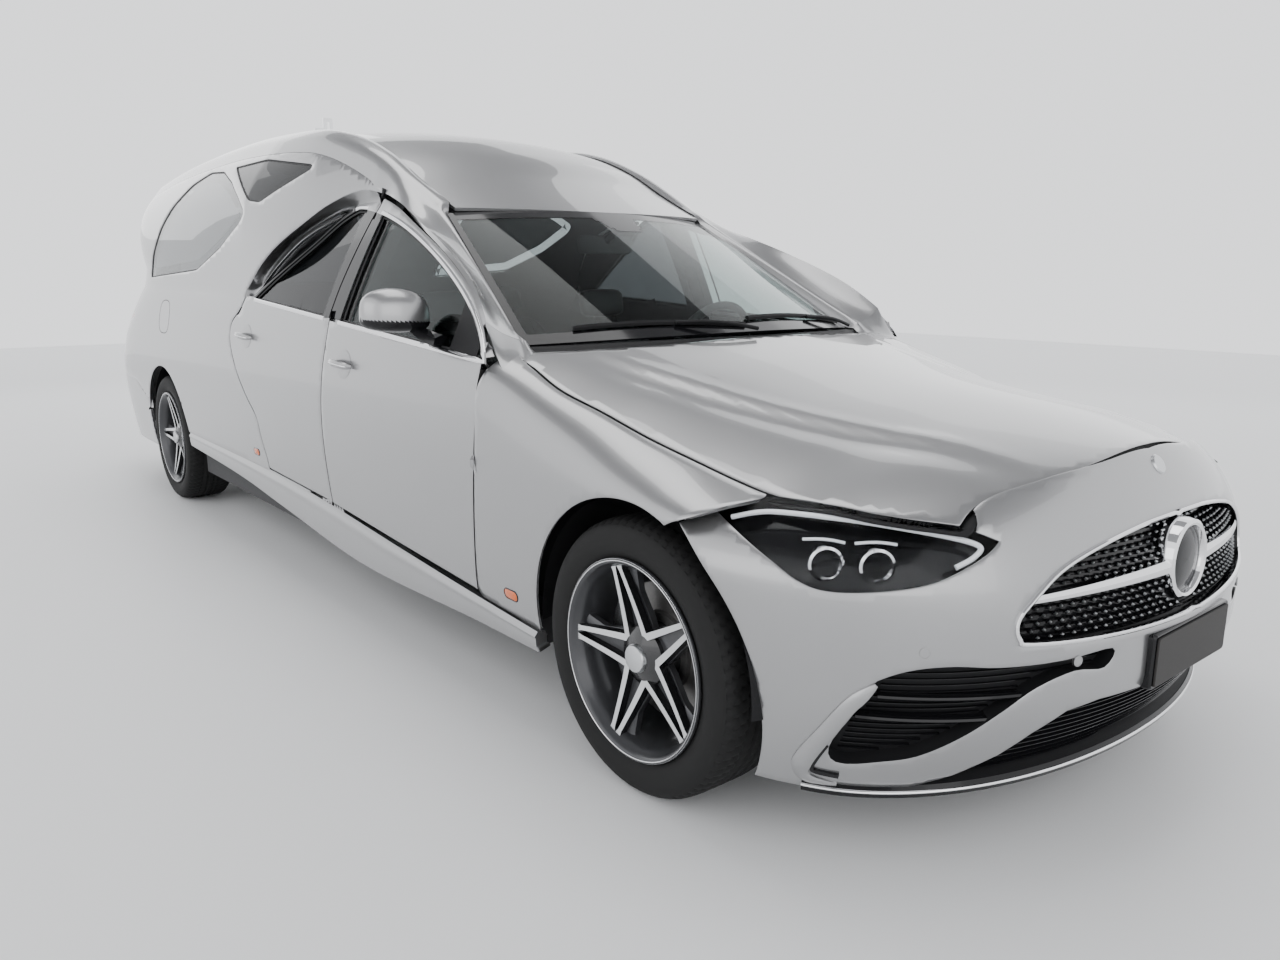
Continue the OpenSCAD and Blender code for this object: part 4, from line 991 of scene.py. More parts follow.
forward = np.array([0.80, -0.60, 0])
lampBits, lensBits, ringBits = [], [], []
for s0, z0, r in ((1300, 664, 27), (1400, 664, 27)):
    c = cornerPoint(s0, z0, 30)[0]
    lensBits.append(lathe([[r * math.cos(a), 12 * math.sin(a)] for a in np.linspace(0, 1.55, 8)] + [[0.01,
            12]], c, forward))
    ringBits.append(lathe([[r + 1, -6], [r + 7, -6], [r + 8, 6], [r + 3, 9], [r, 0]], c, forward))
    step = np.array([[s0 - 42, z0 + 36], [s0 - 12, z0 + 39], [s0 + 14, z0 + 39], [s0 + 40, z0 + 36]], float)
    line = cornerPoint(*curve(step, 6).T, 22)
    lampBits.append(strip(line, np.tile(forward, (len(line), 1)), bead(6, 5)))
strip1 = curve([[1120, 712], [1200, 731], [1330, 733], [1440, 724], [1540, 708], [1598, 690], [1586, 672],
                [1548, 655]], 8)
led = cornerPoint(*strip1.T, 12)
lampBits.append(strip(led, noseNormal(noseLine(strip1, "s")), bead(11, 6)))
hem = edgeOut[(edgeOut[:, 0] > 2380) & (edgeOut[:, 1] < -500)]
hemPath = cols(hem[:, 0], hem[:, 1] + 1, bonnetPoint(hem[:, 0], hem[:, 1])[..., 2] - 12)
bodyPair("lampHems", strip(hemPath, np.tile([0, 0, 1.0], (len(hem), 1)), bead(30, 5)), blackMatt, "dark_trim")
bodyPair("lampStrips", join(lampBits), ledWhite, "lamp")
bodyPair("lampLenses", join(lensBits), lensGlass, "lamp")
bodyPair("lampRings", join(ringBits), chrome, "chrome")
print("lamps made")


# grille: a dark recess with rows of small bright studs, a bar, and a plain ring in the middle
def recess(areaFront, deep, u0, u1, z0, z1, name, finishes, slot, replaces, both=True):
    line = noseHalf(dense(areaFront, 12))
    keepIn = lambda p, q: inside(areaFront, frontOf(p))
    p, f = skin(noseSpace, ((u0, u1), (z0, z1)), (0.013, 16), [(line, True)], keepIn, 0)
    n = normals(p, f)
    e, k = rim(f), len(p)
    band = np.vstack([cols(e[:, 0], e[:, 1], e[:, 0] + k), cols(e[:, 0] + k, e[:, 1], e[:, 1] + k)])
    q = np.vstack([p - n * 1, p - n * deep])
    made = (q, [f + k, band])
    return piece(name, *(bothSides(*made) if both else made), finishes, "body", slot, replaces)


recess(grilleArea, 30, -0.75, 0.75, 478, 700, "grilleBack", [blackGloss, blackGloss], "gloss_black",
       ["front_grille"], False)
grille = dict(row=14.5, pitch=29.0, stud=4.2, ringX=2978.0, ringZ=592, ringReach=92)


def onNose(y, z, lift):  # a place over the nose given in front view
    q = noseHalf(cols(y, z).astype(float))
    n = noseNormal(q)
    return noseSpace(q[:, 0], q[:, 1]) + n * lift, n


def barRows(outline, heights, reach, step, lift, shape):  # level bars across an opening, cut to its outline
    made = []
    for z in heights:
        y = np.arange(reach[0], reach[1], step)
        y = y[inside(outline, cols(y, 0 * y + z))]
        if len(y) > 2:
            made.append(strip(*onNose(y, 0 * y + z, lift), shape))
    return made


def frames(n):
    a = np.cross(n, [0, 0, 1.0])
    a /= np.linalg.norm(a, axis=1)[:, None]
    return a, np.cross(a, n)


rows = np.arange(492, 694, grille["row"])
studs = np.vstack([cols(np.arange(-522, 523, grille["pitch"]) + (i % 2) * grille["pitch"] / 2, np.full(37, z))
                   for i, z in enumerate(rows)])
away = np.hypot(studs[:, 0], studs[:, 1] - grille["ringZ"])
studs = studs[inside(grown(grilleArea, -11), studs) & (away > grille["ringReach"]) & (np.abs(studs[:,
        1] - 586) > 14)]
at, n = onNose(studs[:, 0], studs[:, 1], -16)
a, b = frames(n)
r = grille["stud"]
base = np.stack([at + a * r * 1.5, at + b * r, at - a * r * 1.5, at - b * r, at + n * r * 1.3], 1)
foot = base[:, :4] - n[:, None] * 12
p = np.concatenate([base, foot], 1).reshape(-1, 3)
k = np.arange(len(at))[:, None, None] * 9
f = (k + np.array([[0, 1, 4], [1, 2, 4], [2, 3, 4], [3, 0, 4]])).reshape(-1, 3)
g = (k + np.array([[0, 5, 6, 1], [1, 6, 7, 2], [2, 7, 8, 3], [3, 8, 5, 0]])).reshape(-1, 4)
piece("grilleStuds", p, [f[:, ::-1], g[:, ::-1]], [satinMetal, blackGloss], "body", "chrome")
thin = []
for z in rows:
    y = np.arange(-520, 521, 20.0)
    crossed = abs(z - grille["ringZ"]) < grille["ringReach"]
    y = y[inside(grown(grilleArea, -6), cols(y, 0 * y + z)) & (np.abs(y) > 96 * crossed)]
    for part in (y[y < 0], y[y > 0]) if crossed else (y,):
        if len(part) > 2:
            thin.append(strip(*onNose(part, 0 * part + z, -24), bead(3, 5, 0, 4)))
piece("grilleBars", *join(thin), blackGloss, "body", "gloss_black")
bars = []
for side in (-1, 1):
    y = side * np.linspace(84, 500, 30)
    bars.append(strip(*onNose(y, grille["ringZ"] - 9 * np.linspace(0, 1, 30) ** 2, -8),
            profile([[-13, -4], [-12, 3], [-4, 7], [4, 7], [12, 3], [13, -4]]), taper=np.linspace(1.15, 0.55,
                    30)))
piece("grilleBar", *join(bars), chrome, "body", "chrome")
ringAt, ringAxis = np.array([grille["ringX"] - 6, 0, grille["ringZ"]]), np.array([1, 0, 0.04])
piece("grilleRing", *lathe([[70, -34], [70, -4], [74, 6], [80, 9], [87, 5], [90, -6], [90, -34]], ringAt,
        ringAxis, 64),
      chrome, "body", "chrome")
piece("grilleDisc", *lathe([[71, -30], [71, -6], [60, -2], [34, 2], [0.01, 3]], ringAt, ringAxis, 64),
      blackGloss, "body",
      "gloss_black")
edge = dense(grown(grilleArea, -4), 12)
q = noseHalf(edge)
piece("grilleEdge", *strip(noseSpace(q[:, 0], q[:, 1]), noseNormal(q), bead(10, 5, -1), True), chrome,
      "body", "chrome")
recess(intakeArea * [-1, 1], 34, -0.93, -0.24, 235, 480, "intakeBacks", [blackMatt, blackMatt], "dark_trim",
       ["bumper_inserts"])
recess(lowerArea, 34, -0.85, 0.85, 180, 360, "lowerIntake", [blackMatt, blackMatt], "dark_trim", [], False)
fins = []
for z, y0, y1 in ((392, 470, 748), (345, 545, 770)):
    y = -np.linspace(y0, y1, 24)
    fins.append(strip(*onNose(y, z + 0 * y + 8 * np.linspace(0, 1, 24), -15),
            profile([[-5, -16], [-4, 6], [0, 9], [4, 6], [5, -16]])))
fins += barRows(grown(intakeArea, -5) * [-1, 1], np.arange(262, 462, 13.0), (-310, -780), -14.0, -30,
                bead(3, 4, 0, 4))
bodyPair("intakeFins", join(fins), blackGloss, "gloss_black")
lowBars = barRows(grown(lowerArea, -6), np.arange(196, 350, 14.0), (-640, 641), 20.0, -28, bead(4, 8, 0, 4))
piece("lowerBars", *join(lowBars), blackGloss, "body", "gloss_black")
blade = curve([[-752, 430], [-781, 380], [-796, 316], [-803, 258], [-801, 222], [-786, 197], [-752, 188]], 6)
q, m = onNose(np.maximum(blade[:, 0], -812), blade[:, 1], 2)
wide = np.interp(np.linspace(0, 1, len(blade)), [0, 0.1, 0.6, 0.85, 1], [0.2, 0.8, 1.15, 0.7, 0.3])
bodyPair("cornerBlades", strip(q, m, profile([[-19, -8], [-17, 6], [-8, 10], [8, 9], [17, 3], [19, -8]]),
        taper=wide), silver,
      "paint")
# a black strip along the lower half of the blade's outer edge: painted shade in the crease between the blade and
# the bumper skin
shadeSpan = slice(14, None)
bodyPair("bladeShadeStrips", strip(q[shadeSpan], m[shadeSpan], profile([[-30, -3], [-29, 3], [-20, 3], [-19, -3]]),
                                        taper=np.linspace(0.8, 1.1,
                                                len(q[shadeSpan]))), blackGloss, "gloss_black")
lip = np.array([[0, 182], [-200, 181], [-400, 179], [-560, 178], [-660, 178], [-740, 179], [-790, 182]],
               float)
lip = curve(np.vstack([(lip * [-1, 1])[::-1], lip[1:]]), 6)
lip = lip[np.abs(lip[:, 0]) > 12]
q, m = onNose(lip[:, 0], lip[:, 1], 2)
piece("chinLip", *strip(q, m, profile([[-14, -14], [-16, 4], [-8, 12], [4, 10], [10, -4]])), blackGloss,
      "body", "gloss_black")
piece("chinStrip", *strip(q + m * 9 + [0, 0, 4], m, bead(6, 4)), chrome, "body", "chrome")


def roundedBox(lo, hi, r=4, n=4):  # a box with rounded upright edges and eased rims, along X
    lo, hi = np.array(lo, float), np.array(hi, float)
    c, h = (lo + hi) / 2, (hi - lo) / 2
    a = turn(4 * n) + np.pi / (4 * n)
    sy, sz = np.sign(np.cos(a)), np.sign(np.sin(a))
    ring = cols(sy * (h[1] - r) + np.cos(a) * r, sz * (h[2] - r) + np.sin(a) * r)
    rowsX = [(-h[0], 0.0), (-h[0], 1 - r / max(h[1], h[2]) * 0.5), (-h[0] + r * 0.4, 1), (h[0] - r * 0.4, 1),
             (h[0], 1 - r / max(h[1], h[2]) * 0.5), (h[0], 0.0)]
    p = np.array([[[c[0] + x, c[1] + k * y, c[2] + k * z] for y, z in ring] for x, k in rowsX])
    return grid(p, False, True)


piece("plateBracket", *roundedBox([2958, -188, 348], [3002, 188, 468], 10), blackGloss, "body", "dark_trim")
piece("plateBlank", *roundedBox([3002, -178, 354], [3006, 178, 461], 8), plateDark, "body", "dark_trim")
piece("noseDisc", *lathe([[23, -6], [23, 0], [20, 3], [0.01, 3.6]], [2892, 0, 787], [0.86, 0, 0.51], 40),
      satinMetal, "body", "chrome")
sensors = []
for y, z in ((-690, 497), (-395, 452)):
    q, m = onNose([y], [z], 0)
    sensors.append(lathe([[11, -4], [11, 1.4], [9.6, 1.6], [9.2, 0.8], [0.01, 1.2]], q[0], m[0], 24))
bodyPair("noseSensors", join(sensors), silver, "paint")
print("nose details made")


# windscreen with its black border, the cowl and the wipers
def screenAt(u, v):
    e = np.abs(u)
    low = cols(1712 - 262 * e ** 2.2, 705 * u, 1018 - 28 * e * e)
    top = cols(908 - 112 * e * e, 570 * u, 1398 - 18 * e * e)
    return low + (top - low) * v[..., None] + cols(0 * u, 0 * u, 18 * v * (1 - v))


def sheetOf(space, u, v):
    gu, gv = np.meshgrid(u, v, indexing="ij")
    p, f = grid(space(gu, gv))
    return p, outward(p, f)


def sheetShell(space, u, v, thick):
    p, f = sheetOf(space, u, v)
    return shell(p, halves(f), thick)


u, v = np.linspace(-1, 1, 65), np.linspace(0, 1, 33)
p, f = sheetOf(screenAt, u, v)
gu, gv = np.meshgrid((u[1:] + u[:-1]) / 2, (v[1:] + v[:-1]) / 2, indexing="ij")
pod = (np.abs(gu) < 0.17 - 0.10 * clamp((0.93 - gv) / 0.12)) & (gv > 0.80)
dark = ((gv < 0.05) | (gv > 0.945) | (np.abs(gu) > 0.955) | pod).ravel()
n = normals(p, f)
k = len(p)
e = rim(halves(f))
band = cols(e[:, 1], e[:, 0], e[:, 0] + k, e[:, 1] + k)
piece("windscreen", np.vstack([p, p - n * 6]), [f[~dark], f[dark], band, f[~dark][:, ::-1] + k,
        f[dark][:, ::-1] + k],
      [screenGlass, blackGloss, blackGloss, screenGlass, blackMatt], "body", "clear_glass", ["windscreen"])


def cowlAt(u, k):
    a = screenAt(u, 0 * u)
    x = a[..., 0] + 48 + 70 * np.abs(u)
    z = bonnetMid(x) - (bonnetMid(x) - wingZ(x)) * (np.abs(a[..., 1] * 1.03) / wingY(x)) ** 1.9 - 28
    far = cols(x, a[..., 1] * 1.03, z)
    near = a + cols(4 + 0 * u, 0 * u, -13 + 8 * np.abs(u))
    return near + (far - near) * k[..., None] + cols(0 * u, 0 * u, 5 * np.sin(k * 3 * np.pi) ** 2)


piece("cowlPanel", *sheetShell(cowlAt, np.linspace(-0.985, 0.985, 60), np.linspace(0, 1, 13), 6), blackMatt,
      "body", "dark_trim", ["cowl"])
wipers = []
for y0, y1, v1 in ((520, -20, 0.07), (-60, -560, 0.065)):
    t = np.linspace(0, 1, 24)
    uu = mix(y0, y1, t) / 690
    path = screenAt(uu, 0.035 + (v1 - 0.02) * np.sin(t * 2.2)) + [2, 0, 9]
    wipers.append(strip(path, np.tile([0.42, 0, 0.9], (24, 1)),
            profile([[-9, -7], [-7, 1], [0, 5], [7, 1], [9, -7]])))
    arm = screenAt(mix(y0, mix(y0, y1, 0.45), t) / 690, 0.0 + 0.06 * t) + cols(30 * (1 - t), 0 * t,
            10 + 9 * np.sin(t * 3.1))
    wipers.append(tube(arm, 6))
piece("wipers", *join(wipers), blackMatt, "body", "dark_trim")
a = screenAt(np.array([0.0]), np.array([0.86]))[0]
mirrorPod = roundedBox([-16, -118, -34], [16, 118, 30], 20, 6)
piece("cabinMirror", mirrorPod[0] + a + [-110, 0, -62], mirrorPod[1], blackGloss, "body", "gloss_black")
piece("mirrorStem", *tube(a + np.array([[-98, 0, -50], [-70, 0, -30], [-30, 0, -14], [-10, 0, -8]]), 13),
      blackMatt, "body", "dark_trim")


# roof rails and roof
browTop = [[300, 1470], [450, 1466], [648, 1420], [840, 1356], [1120, 1258], [1350, 1158], [1480, 1068],
           [1530, 1015]]


def roofMid(x):
    return along([[-2480, 1693], [-1640, 1780], [-890, 1800], [-290, 1776], [120, 1724], [370, 1643],
                  [590, 1537],
                  [908, 1398]], x)


def roofIn(x):
    return 545 * drawn((-2060 - x) / 490, 1700 + 0 * x)


def roofZ(x, y):
    return roofMid(x) - 44 * (np.abs(y) / 545) ** 2.1


def screenEdge(x):
    return mix(705, 570, clamp((1450 - x) / 654))


def railAt(x, k):
    low = np.where(x > 420, along(browTop, np.maximum(x, 420)), railZ(x) - 90)
    low = mix(railZ(x) - 90, low, clamp((x - 380) / 80))
    z1 = railZ(x)
    side = coachY(x, low) * drawn((taperX(low) - x) / (taperX(low) - tailEnd(low)), low)
    ys = mix(side, doorY(x, low), clamp((x - 420) / 160))
    yt = np.minimum(610 + 130 * clamp((x - 810) / 650) ** 1.2, ys - 12)
    yi = mix(roofIn(x), screenEdge(x) + 0.6, clamp((x - 770) / 36))
    zi = np.where(x > 800, mix(990, 1380, clamp((1450 - x) / 654)), roofZ(x, yi) + 6)
    rows = np.stack([cols(x, -ys, low), cols(x, -mix(ys, yt, 0.45), mix(low, z1, 0.62)),
                     cols(x, -yt, z1 - 4), cols(x, -mix(yt, yi, 0.5), mix(z1, zi, 0.45) + 6),
                     cols(x, -yi, zi)], 0)
    i = np.clip(np.floor(k).astype(int), 0, 3)
    t = (k - i)[..., None]
    pick = lambda j: np.take_along_axis(rows, np.clip(j, 0, 4)[None, ..., None], 0)[0]
    a, b, c, d = pick(i - 1), pick(i), pick(i + 1), pick(i + 2)
    return between(a, b, c, d, t)


railX = np.concatenate([np.linspace(-2498, -2200, 16), np.linspace(-2170, 1490, 150)])
p, f = sheetOf(railAt, railX, np.linspace(0, 4, 25))
tri = halves(f)
gateOut = grown(rounded(mirrored(gateHalf), 40), 7)
mid = p[tri].mean(1)
tri = tri[~((mid[:, 0] < -2440) & inside(gateOut, mid[:, 1:]))]
bodyPair("roofRails", shell(p, tri, 13), silver, "paint", ["roof_rails"])


def roofAt(s, v):
    x = mix(-2440 + 0 * s, 907.4 - 102 * v * v, s)
    y = v * (roofIn(x) - 0.3)
    return cols(x, y, roofZ(x, y))


piece("roofPanel", *sheetShell(roofAt, np.linspace(0, 1, 120) ** 0.9, np.linspace(-1, 1, 49), 11), silver,
      "body", "paint", ["roof_panel"])
k = np.linspace(0, 4, 33)
a = railAt(1488 + 0 * k, k)
y = -np.linspace(852, 694, 33)
onWing = wingAt(1592 + 0 * np.linspace(0, 1, 80), np.linspace(690, 979, 80))
zWing = np.interp(-y, onWing[::-1, 1] * -1, onWing[::-1, 2]) if onWing[0, 1] > onWing[-1,
        1] else np.interp(y, onWing[:, 1], onWing[:, 2])
fold = clamp((-y - 745) / 40)
b = cols(mix(1560, 1592, fold), y, mix(966, zWing - 9, fold))
t = np.linspace(0, 1, 16)[:, None, None]
p, f = grid(a[None] * (1 - t) + b[None] * t + np.array([0, 0, -9.0]) * np.sin(t * np.pi))
f = outward(p, f)
bodyPair("pillarFeet", shell(p, halves(f), 5), silver, "paint")
edgeX = np.linspace(-2430, 768, 140)
edgePath = cols(edgeX, -roofIn(edgeX), roofZ(edgeX, roofIn(edgeX)) + 1)
bodyPair("roofJoints", strip(edgePath, np.tile([0, 0, 1.0], (140, 1)), bead(9, 2.5, -1)), blackMatt,
         "dark_trim")
print("roof made")


# coach sides, with the openings for their windows
def gateS(q):  # the s of tail points given by half width and height
    y, z = np.abs(q[:, 0]), q[:, 1]
    return solve(lambda s: y - np.abs(sideAt(s, z)[..., 1]), flank(z), flank(z) + tailSpan)


def sideLine(q):
    return cols(sideS(q[:, 0], q[:, 1]), q[:, 1])


rearLightArea = rounded(np.array(rearLight, float), 60)
upperLightArea = rounded(np.array(upperLight, float), 40)
lampTail = rounded(np.array(tailLamp, float), 24, 4)
skirtArea = np.vstack([cols(np.arange(-1330, 1831, 20.0),
        along(skirtLine, np.arange(-1330, 1831, 20.0)) + 0.3),
                       [[1830, 0], [-1330, 0]]])
gateHole = gateOut[gateOut[:, 0] > 0]


def coachKeep(p, q):
    side, rear = p[:, [0, 2]], cols(-p[:, 1], p[:, 2])
    return (~inside(doorArea, side) & (p[:, 2] < railZ(p[:, 0]) - 90.3) & ~inside(bumperLine,
            side) & ~inside(skirtArea, side)
            & ~inside(rearLightArea, side) & ~inside(upperLightArea, side) & ~inside(rearArch, side)
            & ~((p[:, 0] < -2200) & (inside(gateOut, rear) | inside(lampTail, rear)))
            & ~((p[:, 0] < -2400) & (p[:, 2] > 1600) & (-p[:, 1] < 418)) & (q[:, 0] > 0) & (-p[:, 1] > 300))


under1 = np.arange(-2470, 560, 8.0)
lines = [(sideLine(dense(doorArea[(doorArea[:, 0] < 560)], 8, False)), False),
         (sideLine(cols(under1, railZ(under1) - 90.3)), False),
         (sideLine(dense(np.array([[-2060, 300], [-2060, 500], [-2300, 590], [-2700, 625], [-2990, 625]],
                 float), 14, False)), False),
         (sideLine(dense(rearLightArea, 7)), True), (sideLine(dense(upperLightArea, 7)), True),
         (sideLine(rearArch), True), (sideLine(skirtArea[:80]), False),
         (cols(gateS(gateHole), gateHole[:, 1]), False), (cols(gateS(lampTail), lampTail[:, 1]), True)]
p, f = skin(sideAt, ((0, 4300), (362, 1680)), 22, lines, coachKeep, 2.0)
bodyPair("coachSides", shell(p, f, 17), [silver, silver, blackMatt], "paint", ["coach_sides"])


def sidePane(outline, z0, z1, name, glass, nodes):
    out = sideLine(dense(grown(outline, -0.3), 14))
    s0, s1 = out[:, 0].min() - 5, out[:, 0].max() + 5
    made = skin(sideAt, ((s0, s1), (z0, z1)), 26, [(out, True)], lambda p, q: inside(out, q), 0)
    bodyPair(name, sunk(made, 5, 6), glass, "coach_glass", nodes)
    # a paler field inside the glass, and the seal in the step round it
    inner = sideLine(dense(grown(outline, -46), 14))
    made = skin(sideAt, ((s0, s1), (z0, z1)), 30, [(inner, True)], lambda p, q: inside(inner, q), 0)
    bodyPair(name + "Field", sunk(made, 14, 1.5), frosted, "coach_glass")
    q = sideLine(dense(grown(outline, -3), 12))
    bodyPair(name + "Seals", trim(sideAt, q, bead(8, 3, -6), True), rubber, "dark_trim")


frosted = plainFinish("frostedField", (0.74, 0.75, 0.76), 0.5, 0, (60, 0.02, 2), 0.04, 0.06, 0.25, 1.4)
sidePane(rearLightArea, 1140, 1650, "rearLights", coachGlass, ["coach_windows"])
sidePane(upperLightArea, 1440, 1650, "upperLights", darkGlass, [])
# the band that sweeps in from the coach panel to the window's bright line, and the quarter behind the door's frame
outerLine = dense(np.array(curve(brow)), 6, False)
outerLine = outerLine[(outerLine[:, 0] < 470) & (outerLine[:, 1] > 1096)]
outerLine = np.vstack([outerLine, [[-446, 1080], [-474, 1040]]])
windowLine = grown(dense(window, 6), 9)
near = np.argmin(np.hypot(*(outerLine[:, None] - windowLine[None]).transpose(2, 0, 1)), 1)
innerLine = windowLine[near]
for _ in range(12):
    innerLine[1:-1] = (innerLine[:-2] + innerLine[1:-1] * 2 + innerLine[2:]) / 4
t = np.linspace(0, 1, 14)[None, :, None]
a = cols(outerLine[:, 0], -coachY(*outerLine.T) + 2, outerLine[:, 1])[:, None]
b = cols(innerLine[:, 0], -doorY(*innerLine.T) + 33, innerLine[:, 1])[:, None]
sag = np.sin(t * np.pi) * np.array([0, 7.0, 0])
p, f = grid(a * (1 - t) + b * t + sag)
f = outward(p, f)
bandTri = halves(f)
bodyPair("browBands", shell(p, bandTri, 3), silver, "paint")


def flangeKeep(p, q):
    return inside(grown(dense(window, 10), 10), q) & ~inSwing(q, -12) & (q[:, 1] > 1102) & (q[:, 0] < 262)


g = grown(swingTop, -12)
made = skin(doorAt, ((-520, 300), (1100, 1430)), 16, [(grown(dense(window, 10), 10), True), (g, True),
            (np.array([[262, 1100.0], [262, 1430]]), False)], flangeKeep, 0)
bodyPair("rearQuarters", sunk(made, 36, 5), [blackGloss, blackGloss, blackMatt], "gloss_black")
w = windowLine[(windowLine[:, 0] < 300) & (windowLine[:, 1] > 1112)]
w = w[~inSwing(w, -4)]
w = w[np.argsort(np.arctan2(w[:, 1] - 1100, w[:, 0] - 300))]
bodyPair("browLines", join([trim(doorAt, r, bead(16, 6), False, -32) for r in sections(w)]), chrome, "chrome")
print("coach made")


# tail: bumper, gate, window and lamps
def tailSpace(u, z):
    p = sideAt(flank(z) + tailSpan * (1 - np.abs(u)), z)
    p[..., 1] *= np.where(u > 0, -1, 1)
    return p


def tailU(q):  # parameter points on the tail from half widths and heights
    return cols(np.sign(q[:, 0]) * (1 - (gateS(q) - flank(q[:, 1])) / tailSpan), q[:, 1])


gateLine = rounded(mirrored(gateHalf), 40)
gateGlass = rounded(mirrored(gateLight), 36)
bumperTop = dense(np.array([[-2060, 232], [-2060, 500], [-2300, 590], [-2700, 625], [-2990, 625]], float),
        14, False)
corner = cols(-1 + (sideS(*bumperTop.T) - flank(bumperTop[:, 1])) / tailSpan, bumperTop[:, 1])
corner = corner[corner[:, 0] > -0.999]


def bumperKeep(p, q):
    return inside(bumperLine, p[:, [0, 2]]) & (p[:, 2] > 232) & ~inside(rearArch, p[:, [0, 2]])


bottom = cols(np.linspace(-1.13, 1.13, 140), np.full(140, 234.0))
p, f = skin(tailSpace, ((-1.13, 1.13), (228, 640)), (0.013, 17),
            [(bottom, False), (corner, False), (turned(corner), False)], bumperKeep, 2.0)
piece("rearBumper", *shell(p, f, 14), silver, "body", "paint", ["rear_bumper"])
p, f = skin(tailSpace, ((-0.999, 0.999), (628, 1690)), (0.012, 17),
            [(tailU(gateLine), True), (tailU(gateGlass), True)],
            lambda p, q: inside(gateLine, frontOf(p)) & ~inside(gateGlass,
                    frontOf(p)) & (p[:, 2] < 1688), 2.0)
piece("gatePanel", *shell(p, f, 28), [silver, silver, cloth], "tailgate", "paint", ["tailgate"])
made = skin(tailSpace, ((-0.9, 0.9), (1100, 1590)), (0.015, 24), [(tailU(grown(gateGlass, -0.3)), True)],
            lambda p, q: inside(grown(gateGlass, -0.3), frontOf(p)), 0)
piece("gateGlass", *sunk(made, 6, 5), darkGlass, "tailgate", "privacy_glass", ["tailgate_glass"])
q = tailU(grown(gateGlass, -2))


def tailNormal(q):
    return faceNormal(tailSpace, q, 0.004, [-1900, 0, 760])


def onTail(q, shape, loop=False):
    return strip(tailSpace(q[:, 0], q[:, 1]), tailNormal(q), shape, loop)


piece("gateSeal", *onTail(q, bead(12, 3, -4), True), rubber, "tailgate", "dark_trim")


def lipAt(s, v):
    x = mix(-2506, -2452, s)
    y = v * (roofIn(x) - 7)
    return cols(x, y, roofZ(x, y))


piece("gateLip", *sheetShell(lipAt, np.linspace(0, 1, 8), np.linspace(-1, 1, 49), 11), silver, "tailgate",
      "paint")
arms = []
for y in (-350, 350):
    arms.append(lathe([[4.55, -12], [10.5, -12], [10.5, 12], [4.55, 12], [4.55, -12]], [-2400, y, 1652],
            [0, 1, 0], 32))
    arms.append(tube(np.array([[-2400, y, 1642], [-2403, y, 1610], [-2420, y, 1580], [-2470, y, 1576]],
            float), 9))
piece("gateArms", *join(arms), iron, "tailgate", "steel")
for name, grow, deep, look in (("tailLamps", -0.3, 2, redLens), ("tailLampBacks", -0.5, 34, blackGloss)):
    out = tailU(grown(lampTail, grow) * [-1, 1])
    made = skin(tailSpace, ((-1.1, -0.2), (840, 975)), (0.010, 14), [(out, True)], lambda p,
                q: inside(out, q), 0)
    bodyPair(name, sunk(made, deep, 4), look, "tail_lamp", ["tail_lamps"] if deep == 2 else [])
bits = []
for z in (880, 908, 936):
    y = -np.linspace(700, 862, 16)
    q = tailU(cols(y, 0 * y + z + 6 * np.linspace(0, 1, 16)))
    bits.append(onTail(q, bead(9, 4, -10)))
bodyPair("tailLampBars", join(bits), redLens, "tail_lamp")
y = np.linspace(-560, 560, 60)
q = tailU(cols(y + 1e-4, 0 * y + 1010))
piece("gateTrim", *onTail(q, bead(20, 7, -2)), chrome, "tailgate", "chrome")
q = tailU(np.array([[0.01, 880.0]]))
back = tailSpace(q[:, 0], q[:, 1])[0]
piece("rearPlate", *roundedBox([back[0] - 20, -262, 790], [back[0] - 1, 262, 902], 8), plateDark, "tailgate",
      "dark_trim")
y = np.linspace(-690, 690, 50)
q = tailU(cols(y + 1e-4, 0 * y + 290))
piece("rearApron", *onTail(q, profile([[-52, -12], [-48, 4], [-16, 9], [20, 7], [50, 2], [54, -12]])),
      blackMatt, "body", "dark_trim")
pipes = []
for y in (-540, 540):
    q = tailU(np.array([[y, 292.0]]))
    c, m = tailSpace(q[:, 0], q[:, 1])[0], tailNormal(q)[0]
    pipe = lathe([[30, -10], [38, -10], [42, 10], [40, 14], [34, 8], [30, -40]], c + m * 4, m, 40)
    pipes.append((c + (pipe[0] - c) * [1, 1.7, 0.75], pipe[1]))
piece("exhaustTrims", *join(pipes), chrome, "body", "chrome")
print("tail made")


# skirts, handles, mirrors, markers and the cross on the roof
def skirtAt(x, k):
    lo = along([[-1330, 338], [-564, 308], [0, 262], [700, 208], [1500, 228], [1830, 232]], x)
    hi = along(skirtLine, x)
    return cols(x, -(886 + 12 * np.sin(np.radians(35 + 110 * k)) + 5 * np.exp(-((k - 0.78) / 0.1) ** 2)),
                mix(lo, hi, k))


